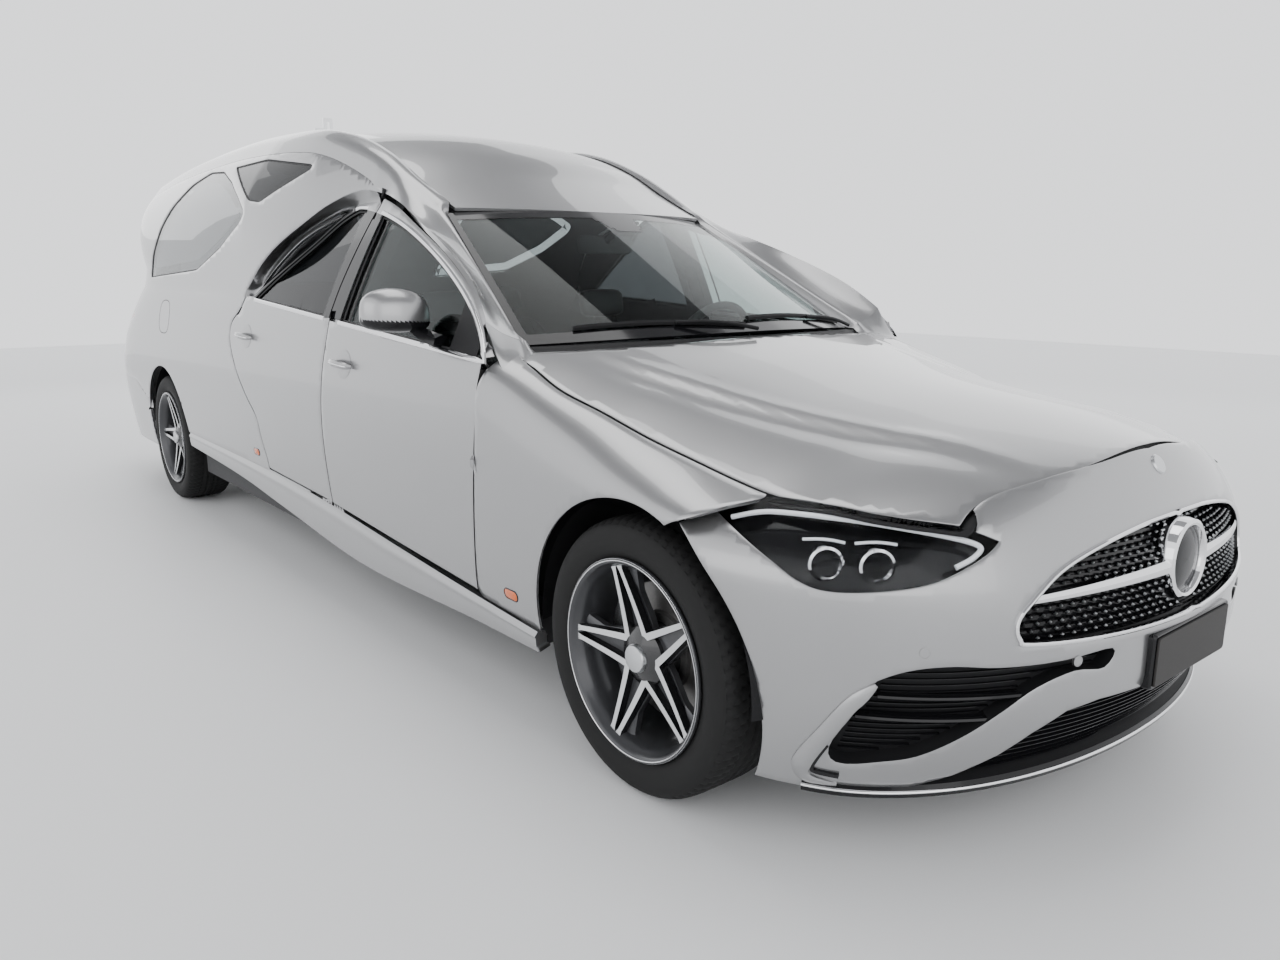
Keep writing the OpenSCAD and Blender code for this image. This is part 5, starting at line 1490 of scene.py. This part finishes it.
p, f = sheetOf(skirtAt, np.linspace(-1322, 1826, 240), np.linspace(0, 1, 17))
tri = halves(f)
tri = tri[~inside(frontArch, p[tri].mean(1)[:, [0, 2]])]
bodyPair("sideSkirts", shell(p, tri, 34), silver, "paint", ["side_skirts"])
handle = dict(half=72, cupX=58, cupZ=48)
for word, x, z in (("front", 647, 889), ("rear", -348, 929)):
    t = np.linspace(-1, 1, 33)
    surf = doorAt(x + handle["half"] * t, z - 4 * t + 4 * (1 - t * t))
    lift = 4 + 30 * clamp((1 - t * t)) ** 0.45
    n = np.tile([0, -1.0, 0], (33, 1))
    wide = 0.45 + 0.55 * clamp(1 - t ** 4) ** 0.5
    bar = strip(surf + n * lift[:, None], n, profile([[-13, -3], [-11, 4], [-4, 8], [5, 7], [12, 2],
            [13, -3], [0, -7]]), taper=wide)
    sidePiece(word + "Handle", bar, silver, word + "_door_SIDE", "paint")
    bright = strip(surf + n * (lift + 8)[:, None], n, bead(5, 2, -1), taper=wide)
    sidePiece(word + "HandleStrip", bright, chrome, word + "_door_SIDE", "chrome")
    # the cup behind the handle, in the darker silver that paints the shade in the recess
    a = turn(40)
    r = np.linspace(0, 1, 9)
    cx, cz = x + np.outer(r, handle["cupX"] * np.cos(a)), z + np.outer(r, handle["cupZ"] * np.sin(a))
    cup = cols(cx, -doorY(cx, cz) - 0.6 - 1.2 * np.repeat(1 - r[:, None] ** 2, 40, 1), cz)
    p, f = grid(cup, False, True)
    sidePiece(word + "HandleCup", (p, [outward(p, f)]), cupPaintedShade, word + "_door_SIDE", "paint")
print("trim made")


# door mirrors: a silver cap over a black base, on a foot at the window's front corner
def mirrorShell():
    v = np.linspace(0, np.pi, 25)[1:-1]
    a = turn(48)
    y = -952 + 98 * np.cos(v)
    r = np.sin(v) ** 0.55
    back = 46 * r + 0 * v
    nose = 66 * r ** 1.4
    c, t = np.cos(a), np.sin(a)
    hx = np.where(c[None] > 0, nose[:, None], back[:, None] * 0.62)
    x = 1168 + np.sign(c) * np.abs(c) ** 0.8 * hx + 0.10 * (y[:, None] + 952)
    z = 1058 + np.sign(t) * np.abs(t) ** 0.82 * (np.where(t > 0, 88.0, 36.0) * r[:, None]) + 0.04 * (-y[:,
            None] - 952)
    p = cols(x, np.repeat(y[:, None], 48, 1), z)
    p, f = grid(p, False, True)
    ends = [p[:48].mean(0), p[-48:].mean(0)]
    n = len(p)
    i = np.arange(48)
    caps = np.vstack([cols(i, (i + 1) % 48, 0 * i + n)[:, ::-1],
            cols(i, (i + 1) % 48, 0 * i + n + 1) + [n - 48, n - 48, 0]])
    p = np.vstack([p, ends])
    tri = np.vstack([halves(f), caps])
    m = p[tri].mean(1)
    nrm = np.cross(p[tri[:, 1]] - p[tri[:, 0]], p[tri[:, 2]] - p[tri[:, 0]])
    wrong = np.sum(nrm * (m - [1168, -952, 1070]), 1) < 0
    tri[wrong] = tri[wrong][:, ::-1]
    cap = (np.sin(a[tri % 48]).mean(1) > -0.05) | ((tri.max(1) >= n) & (m[:, 2] > 1058))
    glass = (m[:, 0] < 1142 + 0.1 * (m[:, 1] + 952)) & (np.abs(m[:, 2] - 1080) < 46) & (np.abs(m[:,
            1] + 952) < 84)
    return p, [tri[cap & ~glass], tri[~cap & ~glass], tri[glass]]


q, (cap, base, glass) = mirrorShell()
sidePiece("mirror", (q, [cap, base, glass]), [silver, blackGloss, chrome], "front_door_SIDE", "paint",
          ["mirror_SIDE"], split=60)
t = np.linspace(0, 1, 12)[:, None]
foot = np.array([[1185, -905, 1040]]) * (1 - t) ** 2 + np.array([[1215, -880,
        1012]]) * 2 * t * (1 - t) + np.array([[1290, -868, 1000]]) * t * t
sidePiece("mirrorFoot", strip(foot, np.tile([0, 0, 1.0], (12, 1)),
        profile([[-26, -12], [-22, 8], [0, 15], [22, 8], [26, -12], [0, -18]]),
                              taper=np.linspace(0.9, 1.2,
                                      12)), blackGloss, "front_door_SIDE", "dark_trim", [])
patch = grown(dense(window, 8), -2)
patch = patch[(patch[:, 0] > 1335) & (patch[:, 0] < 1494)]
made = skin(doorAt, ((1320, 1540), (960, 1130)), 16, [(patch, True)], lambda p, q: inside(patch, q), 0)
sidePiece("mirrorPatch", sunk(made, 4, 4), blackMatt, "front_door_SIDE", "dark_trim")

# side markers in their bezels, and the fuel flap's joint
markers, bezels = [], []
for x, z in ((1660, 352), (-300, 456)):
    a = turn(40)
    ring = cols(x + 18 * np.sign(np.cos(a)) + 13 * np.cos(a), z + 13 * np.sin(a))
    face = lambda q: cols(q[..., 0], -(body["halfWidth"] - fall(q[..., 1])), q[..., 1])
    r = np.linspace(1, 0, 7)
    rings = np.array([[x, z] + (ring - [x, z]) * k for k in r])
    p = face(rings) - cols(0 * rings[..., 0], 1.0 + 4.5 * np.repeat((1 - r[:, None] ** 3), 40, 1),
            0 * rings[..., 0])
    p, f = grid(p, False, True)
    markers.append((p, outward(p, f)))
    q = face(np.array([x, z]) + (ring - [x, z]) * 1.06)
    bezels.append(strip(q, np.tile([0, -1.0, 0], (40, 1)), bead(5, 3, -1), True))
bodyPair("sideMarkers", join(markers), amber, "amber", ["side_markers"])
bodyPair("markerBezels", join(bezels), blackGloss, "dark_trim")
a = turn(80)
flap = cols(-1640 + 92 * np.sign(np.cos(a)) * np.abs(np.cos(a)) ** 0.7,
            960 + 82 * np.sign(np.sin(a)) * np.abs(np.sin(a)) ** 0.7)
piece("fuelFlapJoint", *trim(sideAt, sideLine(flap), bead(4.5, 1.0, -0.4), True), blackMatt, "body", "paint")

# cross: four arms with eased edges and open middles, standing on the roof
crossX, crossZ = -1540, 1776
cross = np.array([[22, 110], [72, 110], [72, 154], [22, 154], [22, 210], [-22, 210], [-22, 154], [-72, 154],
        [-72, 110], [-22, 110],
                  [-22, 22], [22, 22]], float)
rods = []
for out in (cross, grown(cross, -11)):
    e = dense(out, 6)
    path = cols(0 * e[:, 0] + crossX, e[:, 0], e[:, 1] + crossZ)
    rods.append(strip(path, np.tile([1.0, 0, 0], (len(e), 1)), profile([[-4, -4], [-4, 4], [4, 4], [4, -4]]),
            True))
web = np.stack([grown(cross, -3), grown(cross, -9)], 0)
for x, flip in ((crossX + 3, 1), (crossX - 3, -1)):
    p = cols(np.full(web.shape[:2], float(x)), web[..., 0], web[..., 1] + crossZ)
    pts, f = grid(p, False, True)
    rods.append((pts, f[:, ::flip]))
rods.append(lathe([[0.01, -4], [30, -4], [32, 2], [26, 7], [12, 12], [11, 30]], [crossX, 0, crossZ + 1],
        [0, 0, 1], 32))
piece("roofCross", *join(rods), chrome, "body", "chrome", ["roof_cross"])
print("outside made")


# wheels, drawn round their axis at a = along X, b = up, w = outward from the tyre's inner wall
wheel = dict(width=225, outer=897, middle=112, arms=5)
wheel["inner"] = wheel["outer"] - wheel["width"]


def lathed(profile, cx, n=96):
    return lathe(profile, [cx, -wheel["inner"], body["hubZ"]], [0, -1, 0], n)


def placed(a, b, w, cx):
    a, b, w = np.broadcast_arrays(a, b, w)
    return cols(cx + a, -wheel["inner"] - w, body["hubZ"] + b)


def tyreMesh(cx):
    line = curve([[227.3, 30], [228, 100], [227.3, 196], [240, 212], [262, 222], [286, 224.5], [305, 220],
                  [317, 210], [324, 196],
                  [327, 176], [328, 150], [328, 112], [328, 75], [327, 49], [324, 29], [317, 15], [305,
                          5], [286, 0.5], [262, 3],
                  [240, 13]], 5, True)
    n = 288
    a = np.arange(n) * 2 * np.pi / n
    r = np.repeat(line[:, 0][None], n, 0)
    w = np.repeat(line[:, 1][None], n, 0)
    tread = r > 322
    for g in (72, 98.5, 126.5, 153):  # grooves round the tread
        r = r - 7 * np.exp(-((w - g) / 3.2) ** 4) * tread
    block = (np.arange(n)[:, None] + np.round((w - wheel["middle"]) * 0.05).astype(int)) % 4 == 0
    r = r - 3.2 * (block & (np.abs(w - wheel["middle"]) > 44) & (r > 313))
    r = r - 1.6 * (((np.arange(n)[:, None] + 2) % 4 == 0) & (np.abs(w - wheel["middle"]) < 38) & tread)
    r = r + 0.8 * np.exp(-((r - 262) / 1.6) ** 2) - 0.7 * np.exp(-((r - 250) / 2) ** 2)
    p = cols(cx + r * np.cos(a)[:, None], -wheel["inner"] - w, body["hubZ"] + r * np.sin(a)[:, None])
    p, f = grid(p, True, True)
    return p, f


def turnedOut(p, f, cx):  # faces turned so that a ring's surface looks away from its own middle line
    quad = p[f]
    mid = quad.mean(1)
    n = np.cross(quad[:, 1] - quad[:, 0], quad[:, 2] - quad[:, 0])
    d = mid - [cx, 0, body["hubZ"]]
    rad = np.hypot(d[:, 0], d[:, 2])
    core = cols(d[:, 0] / rad * 278 + cx, 0 * rad - (wheel["outer"] - wheel["middle"]),
                d[:, 2] / rad * 278 + body["hubZ"])
    wrong = np.sum(n * (mid - core), 1).mean() < 0
    return f[:, ::-1] if wrong else f


def bladeOf(angle, side, cx):  # one thin machined spoke: top face and its dark flanks
    r = np.linspace(44, 226, 26)
    off = side * mix(33, 9.5, clamp((r - 44) / 182))
    half = mix(8.5, 6.0, clamp((r - 44) / 160)) + 5 * clamp((r - 205) / 22)
    top = 186 + 20 * clamp((r - 44) / 182) ** 1.4
    rows = [(-half * 1.35, top - 18), (-half, top), (half, top), (half * 1.35, top - 18)]
    c, s = math.cos(angle), math.sin(angle)
    return np.stack([placed(r * c - (off + o) * s, r * s + (off + o) * c, w, cx) for o, w in rows], 1)


def armPlate(angle, cx):
    r = np.linspace(40, 224, 24)
    half = np.interp(r, [40, 80, 150, 200, 224], [44, 40, 27, 40, 62])
    t = np.linspace(-1, 1, 9)
    top = 172 + 20 * clamp((r - 44) / 182) ** 1.4
    c, s = math.cos(angle), math.sin(angle)
    o = half[:, None] * t[None]
    w = top[:, None] - 10 * np.abs(t[None]) ** 4 - 5 * (1 - t[None] ** 2)
    front = placed(r[:, None] * c - o * s, r[:, None] * s + o * c, w, cx)
    back = placed(r[:, None] * c - o * s, r[:, None] * s + o * c, w - 16, cx)
    return np.concatenate([front, back[:, ::-1]], 1)


def wheelParts(cx):
    rim0 = curve([[222, 14], [230, 8], [238, 3], [238, 9], [230, 15], [222, 24], [216, 60], [212, 110],
                  [212, 160], [216, 190],
                  [222, 206], [228, 211], [238, 214], [238, 221], [233, 224], [226, 220], [219, 208], [211,
                          192], [206, 160], [206, 110],
                  [210, 60], [216, 24]], 3, True)
    grey = [lathed(np.vstack([rim0, rim0[:1]]), cx)]
    bright = [lathed([[226.5, 219.9], [232, 224.4], [237, 222.5]], cx, 96)]
    blades, flanks = [], []
    for i in range(wheel["arms"]):
        angle = math.pi / 2 + 0.30 + i * 2 * math.pi / wheel["arms"]
        for side in (-1, 1):
            p = bladeOf(angle, side, cx)
            pts, f = grid(p)
            f = f.reshape(-1, 3, 4)
            flip = np.mean(np.cross(pts[f[:, 1, 1]] - pts[f[:, 1, 0]], pts[f[:, 1, 2]] - pts[f[:, 1, 0]])[:,
                    1]) > 0
            f = f[..., ::-1] if flip else f
            blades.append((pts, f[:, 1]))
            flanks.append((pts, np.vstack([f[:, 0], f[:, 2]])))
        q = armPlate(angle, cx)
        pts, f = grid(q, False, True)
        grey.append((pts, f))
    hub = [lathed([[0.01, 208], [22, 207.4], [31, 205], [34, 200], [34, 192]], cx, 48)]
    dish = [lathed([[34, 194], [52, 188], [70, 178], [74, 150], [70, 80], [20.5, 80]], cx, 64)]
    for k in range(5):
        a = k * 2 * math.pi / 5 + 0.3 + math.pi / 2 + math.pi / 5
        c = placed(np.array(56 * math.cos(a)), np.array(56 * math.sin(a)), np.array(184.0), cx)
        dish.append(lathe([[0.01, 2], [6, 2], [9, -1], [9.5, -12]], c, [0, -1, 0], 16))
    disc = [lathed([[60, 96], [162, 96], [164, 98], [164, 112], [162, 114], [96, 114], [92, 124], [60, 126]],
                   cx, 72)]
    return grey, bright, blades, flanks, hub, dish, disc


for word in ("front", "rear"):
    cx, ride = body[word + "Axle"], word + "_wheel_SIDE"
    p, f = tyreMesh(cx)
    sidePiece(word + "Tyre", (p, [turnedOut(p, f, cx)]), tyreRubber, ride, "rubber", [word + "_tyre_SIDE"],
              split=28)
    grey, bright, blades, flanks, hub, dish, disc = wheelParts(cx)
    sidePiece(word + "Rim", join(grey), rimGrey, ride, "rim", [word + "_rim_SIDE"])
    for name, parts, look, slot in (("RimLip", bright, machined, "rim"), ("Spokes", blades, machined, "rim"),
                                    ("SpokeFlanks", flanks, rimBlack, "rim"), ("Cap", hub, satinMetal, "rim"),
                                    ("Hub", dish, rimBlack, "rim"), ("Disc", disc, iron, "steel")):
        sidePiece(word + name, join(parts), look, ride, slot)
    a = np.linspace(math.pi * 0.78, math.pi * 1.22, 14)
    rows = [(96, 120), (100, 134), (150, 136), (172, 130), (176, 88), (168, 84)]
    p = np.stack([placed(r * np.cos(a), r * np.sin(a), w, cx) for r, w in rows], 1)
    p, f = grid(p, False, True)
    sidePiece(word + "Caliper", (p, [f, *endCaps(len(rows), len(p))]), satinMetal,
              "knuckle_SIDE" if word == "front" else "body", "steel", [])
print("wheels made")


# cabin: dashboard, console, steering wheel
def dashAt(u, v):  # u across, v round a section from the screen over the top and down to the knees
    line = curve([[1500, 938], [1440, 948], [1330, 938], [1210, 918], [1130, 902], [1098, 880], [1092, 850],
                  [1108, 800],
                  [1128, 760], [1180, 722], [1240, 702]], 8)
    t = np.clip(v, 0, 1) * (len(line) - 1)
    i = np.clip(t.astype(int), 0, len(line) - 2)
    q = line[i] + (line[i + 1] - line[i]) * (t - i)[..., None]
    hood = 26 * np.exp(-((u - 370) / 190) ** 4) * np.exp(-((v - 0.42) / 0.12) ** 2)
    x = q[..., 0] - 14 * np.exp(-(u / 150) ** 4) * (v > 0.4) + 0.00006 * u * u
    return cols(x, u, q[..., 1] + hood)


piece("dashboard", *sheetShell(dashAt, np.linspace(-739, 739, 90), np.linspace(0, 1, 60), 10), leather,
      "body", "dark_trim", ["dashboard"])
screens = [roundedBox([1115, 220, 884], [1125, 520, 988], 8),
           roundedBox([1077, -105, 818], [1087, 105, 942], 8)]
piece("dashScreens", *join(screens), blackGloss, "body", "gloss_black")
vents = [lathe([[30, 0], [36, 0], [38, 8], [32, 14], [28, 4], [8, 2], [0.01, 6]], [1094, y, 862],
               [-1, 0, 0.2], 36)
         for y in (-640, -160, -84, 84, 160, 640)]
piece("dashVents", *join(vents), satinMetal, "body", "dark_trim")
piece("console", *roundedBox([430, -105, 260], [1150, 105, 520], 22, 6), leather, "body", "dark_trim")
piece("consoleLid", *roundedBox([440, -96, 520], [700, 96, 552], 16, 6), leather, "body", "dark_trim")
hubAt, axis = np.array([1075, 370, 905.0]), np.array([-math.sin(math.radians(65)), 0,
        math.cos(math.radians(65))])
grip = lathe(cols(180 + 15 * np.cos(np.linspace(0, 2 * np.pi, 17)),
        17 * np.sin(np.linspace(0, 2 * np.pi, 17))), hubAt, axis, 72)
wheelBits = [grip, lathe([[60, -12], [66, 0], [58, 18], [30, 26], [0.01, 28]], hubAt, axis, 48)]
up, across = np.cross(axis, [0, 1.0, 0]), np.array([0, 1.0, 0])
for d in (across, -across, up if up[2] < 0 else -up):
    path = hubAt + d * np.linspace(48, 172, 14)[:, None] + axis * (10 - 8 * np.linspace(0, 1, 14) ** 2)[:,
            None]
    wheelBits.append(strip(path, np.tile(axis, (14, 1)),
            profile([[-19, -6], [-15, 6], [0, 9], [15, 6], [19, -6]]), taper=np.linspace(1.1, 0.8, 14)))
wheelBits.append(tube(hubAt - axis * np.linspace(8, 95, 8)[:, None], 16, n=24))
piece("steeringWheel", *join(wheelBits), leather, "steering_wheel", "dark_trim", ["steering_wheel"])


# seats: crowned cushions with sewn channels, swollen by a short cloth simulation
def padForm(size):  # a rounded block: size in X, Y, Z, before it is turned into place
    bm = bmesh.new()
    bmesh.ops.create_cube(bm, size=2)
    bmesh.ops.subdivide_edges(bm, edges=bm.edges[:], cuts=15, use_grid_fill=True)
    p = np.array([v.co for v in bm.verts], float)
    f = np.array([[v.index for v in face.verts] for face in bm.faces])
    bm.free()
    ball = p / np.linalg.norm(p ** 6, axis=1, ord=1)[:, None] ** (1 / 6)
    p = ball * (1 - 0.06 * (np.sum(p * p, 1, keepdims=True) - 1) / 2)
    return p * np.array(size) / 2, f


def swell(p, f, name, pressure=4.0, cap=12.0, voxel=5.0):  # a pad as it stands after its cover has filled out
    mesh = bpy.data.meshes.new(name)
    mesh.from_pydata((p / 1000).tolist(), [], f.tolist())
    o = newObject(name, mesh)
    bpy.context.view_layer.objects.active = o
    m = o.modifiers.new("even", "REMESH")
    m.mode, m.voxel_size = "VOXEL", voxel / 1000
    graph = bpy.context.evaluated_depsgraph_get()
    even = bpy.data.meshes.new_from_object(o.evaluated_get(graph))
    o.modifiers.clear()
    o.data = even
    start = np.empty(len(even.vertices) * 3)
    even.vertices.foreach_get("co", start)
    start = start.reshape(-1, 3)
    end = start
    c = o.modifiers.new("cover", "CLOTH")
    c.settings.quality = 4
    c.settings.use_pressure = True
    c.settings.uniform_pressure_force = pressure
    c.settings.effector_weights.gravity = 0
    c.settings.tension_stiffness = c.settings.compression_stiffness = 40
    c.settings.bending_stiffness = 6
    c.point_cache.frame_start, c.point_cache.frame_end = 1, 20
    for k in range(1, 21):
        bpy.context.scene.frame_set(k)
    graph = bpy.context.evaluated_depsgraph_get()
    got = o.evaluated_get(graph).data
    end = np.empty(len(got.vertices) * 3)
    got.vertices.foreach_get("co", end)
    end = end.reshape(-1, 3)
    o.modifiers.clear()
    bpy.context.scene.frame_set(1)
    move = end - start
    far = np.linalg.norm(move, axis=1)[:, None]
    end = start + move * np.minimum(1, cap / 1000 / np.maximum(far, 1e-9))
    faces = [tuple(q.vertices) for q in even.polygons]
    bpy.data.objects.remove(o)
    return end * 1000, faces


def channels(p, axis, across, at, wide, deep, top, only):  # sewn channels pressed into a pad's top
    q = p.copy()
    near = np.zeros(len(p))
    for c in at:
        near = np.maximum(near, np.exp(-((p[:, across] - c) / wide) ** 2))
    q[:, axis] -= near * deep * clamp((p[:, axis] * top - only) / 12) * top
    return q


seat = dict(base=(470, 470, 120), back=(120, 440, 560), head=(70, 230, 130))
padMesh = {}
for key, size in seat.items():
    p, f = padForm(np.array(size) - 16)
    if key == "base":  # side bolsters and a dip where one sits
        p[:, 2] += 16 * (np.abs(p[:, 1]) / 235) ** 3 - 10 * np.exp(-((p[:, 0] + 40) / 150) ** 2) * (p[:,
                2] > 0)
    if key == "back":
        p[:, 0] += (16 * (np.abs(p[:, 1]) / 220) ** 3 - 8 * np.exp(-(p[:, 1] / 120) ** 2)) * (p[:, 0] > 0)
        p[:, 1] *= 1 - 0.16 * clamp((p[:, 2] - 60) / 220) ** 1.5
    p, f = swell(p, f, key, cap=8 if key == "head" else 12)
    if key == "base":
        p = channels(p, 2, 1, (-120, 120), 5, 9, 1, 20)
        p = channels(p, 2, 0, (-110, -50, 10, 70, 130), 4, 4, 1, 30)
    if key == "back":
        p = channels(p, 0, 1, (-115, 115), 5, 9, 1, 20)
        p = channels(p, 0, 2, (-170, -110, -50, 10, 70, 130), 4, 4, 1, 30)
    padMesh[key] = (p, f)


def setPad(name, key, where, tilt):
    p, f = padMesh[key]
    a = math.radians(tilt)
    x, z = p[:, 0] * math.cos(a) - p[:, 2] * math.sin(a), p[:, 0] * math.sin(a) + p[:, 2] * math.cos(a)
    placedAt = cols(x, p[:, 1], z) + where
    mesh = bpy.data.meshes.new(name)
    mesh.from_pydata((placedAt / 1000).tolist(), [], f)
    mesh.materials.append(leather)
    mesh.shade_smooth()
    o = newObject(name, mesh)
    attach(o, "body")
    return o


for row, x0, node in (("front", 620, "front_seats"), ("rear", -200, "rear_seats")):
    for side, y in (("Right", -370), ("Left", 370)):
        parts = [setPad(row + "Cushion" + side, "base", (x0 + 215, y, 425), 3),
                 setPad(row + "Back" + side, "back", (x0 - 105, y, 705), 14),
                 setPad(row + "Headrest" + side, "head", (x0 - 222, y, 1058), 10)]
        if side == "Right":
            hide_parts(node)
        rods = [tube(np.array([[x0 - 190, y + k * 55, 960], [x0 - 205, y + k * 55, 1010],
                [x0 - 218, y + k * 55, 1050]], float), 6)
                for k in (-1, 1)]
        foot = roundedBox([x0 + 10, y - 200, 222], [x0 + 420, y + 200, 372], 20, 6)
        piece(row + "SeatFrame" + side, *join(rods + [foot]), blackMatt, "body", "dark_trim")
print("seats made")


# linings, deck and what shows underneath
def liningAt(s, v):
    x = mix(-2350, 860 - 80 * v * v, s)
    y = v * (roofIn(x) - 12)
    return cols(x, y, roofZ(x, y) - 26 - 12 * np.abs(v) ** 6)


gu, gv = np.meshgrid(np.linspace(0, 1, 60), np.linspace(-1, 1, 25), indexing="ij")
p, f = grid(liningAt(gu, gv))
piece("headLining", np.vstack([p, p + [0, 0, 5]]), [f, f[:, ::-1] + len(p)], cloth, "body", "dark_trim")
piece("carpet", *roundedBox([-480, -640, 221], [1540, 640, 231], 20, 4), cloth, "body", "dark_trim")
curtain = []
for cx in (body["frontAxle"], body["rearAxle"]):
    a = np.linspace(math.radians(-2), math.radians(182), 46)
    rows = []
    for r, y in ((374, -876), (384, -840), (386, -700), (386, -610)):
        rows.append(cols(cx + r * np.cos(a), 0 * a + y, body["hubZ"] + 0 * a + r * np.sin(a)))
    p, f = grid(np.stack(rows, 1))
    curtain.append((p, f))
    curtain.append((p + [0, 0, 2], f[:, ::-1]))
bodyPair("archLiners", join(curtain), blackMatt, "underbody")
look = {"floor_pan": under, "posts": blackMatt, "hinges": iron, "subframes": iron, "engine": iron,
        "load_deck": steelDeck,
        "knuckle_right": iron, "knuckle_left": iron}
for name, m in look.items():
    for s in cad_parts[name].material_slots:
        s.material = m
print("inside made")

# floor, light and world
def softBox(name, where, target, size, power):
    d = bpy.data.lights.new(name, "AREA")
    d.shape, d.size, d.size_y, d.energy = "RECTANGLE", size[0], size[1], power
    o = newObject(name, d)
    o.location = where
    o.rotation_euler = (Vector(target) - Vector(where)).to_track_quat("-Z", "Y").to_euler()


softBox("lightAbove", (0, 0, 5.2), (0, 0, 0), (6, 2.4), 120)
softBox("lightFront", (7.5, -2.0, 3.0), (1.5, 0, 0.7), (5, 3.5), 50)
softBox("lightRight", (1.0, -7.5, 3.2), (0, 0, 0.8), (8, 4), 95)
softBox("lightLeft", (-1.5, 7.0, 3.5), (0, 0, 1.0), (8, 4), 50)
softBox("lightBack", (-7.0, 0, 3.2), (-2, 0, 0.9), (5, 3), 45)
world = bpy.data.worlds.new("studio")
bpy.context.scene.world = world
world.use_nodes = True
world.node_tree.nodes["Background"].inputs["Color"].default_value = (0.93, 0.94, 0.96, 1)
world.node_tree.nodes["Background"].inputs["Strength"].default_value = 1.7


def stagePlane(name, corners, face, look):
    mesh = bpy.data.meshes.new(name)
    mesh.from_pydata(corners, [], [face])
    mesh.materials.append(look)
    o = newObject(name, mesh)


stagePlane("floor", [(-14, -14, 0), (14, -14, 0), (14, 14, 0), (-14, 14, 0)], (0, 1, 2, 3),
           finish("floorPale", (0.80, 0.805, 0.81), 0.5, grain=(3, 0.02, 2), vary=0.01, roughVary=0.03))
stagePlane("ceiling", [(-6, -4, 5.6), (7, -4, 5.6), (7, 4, 5.6), (-6, 4, 5.6)], (3, 2, 1, 0),
           finish("ceilingGrey", (0.30, 0.30, 0.305), 0.8, grain=(3, 0.02, 2), vary=0.01, roughVary=0.03))
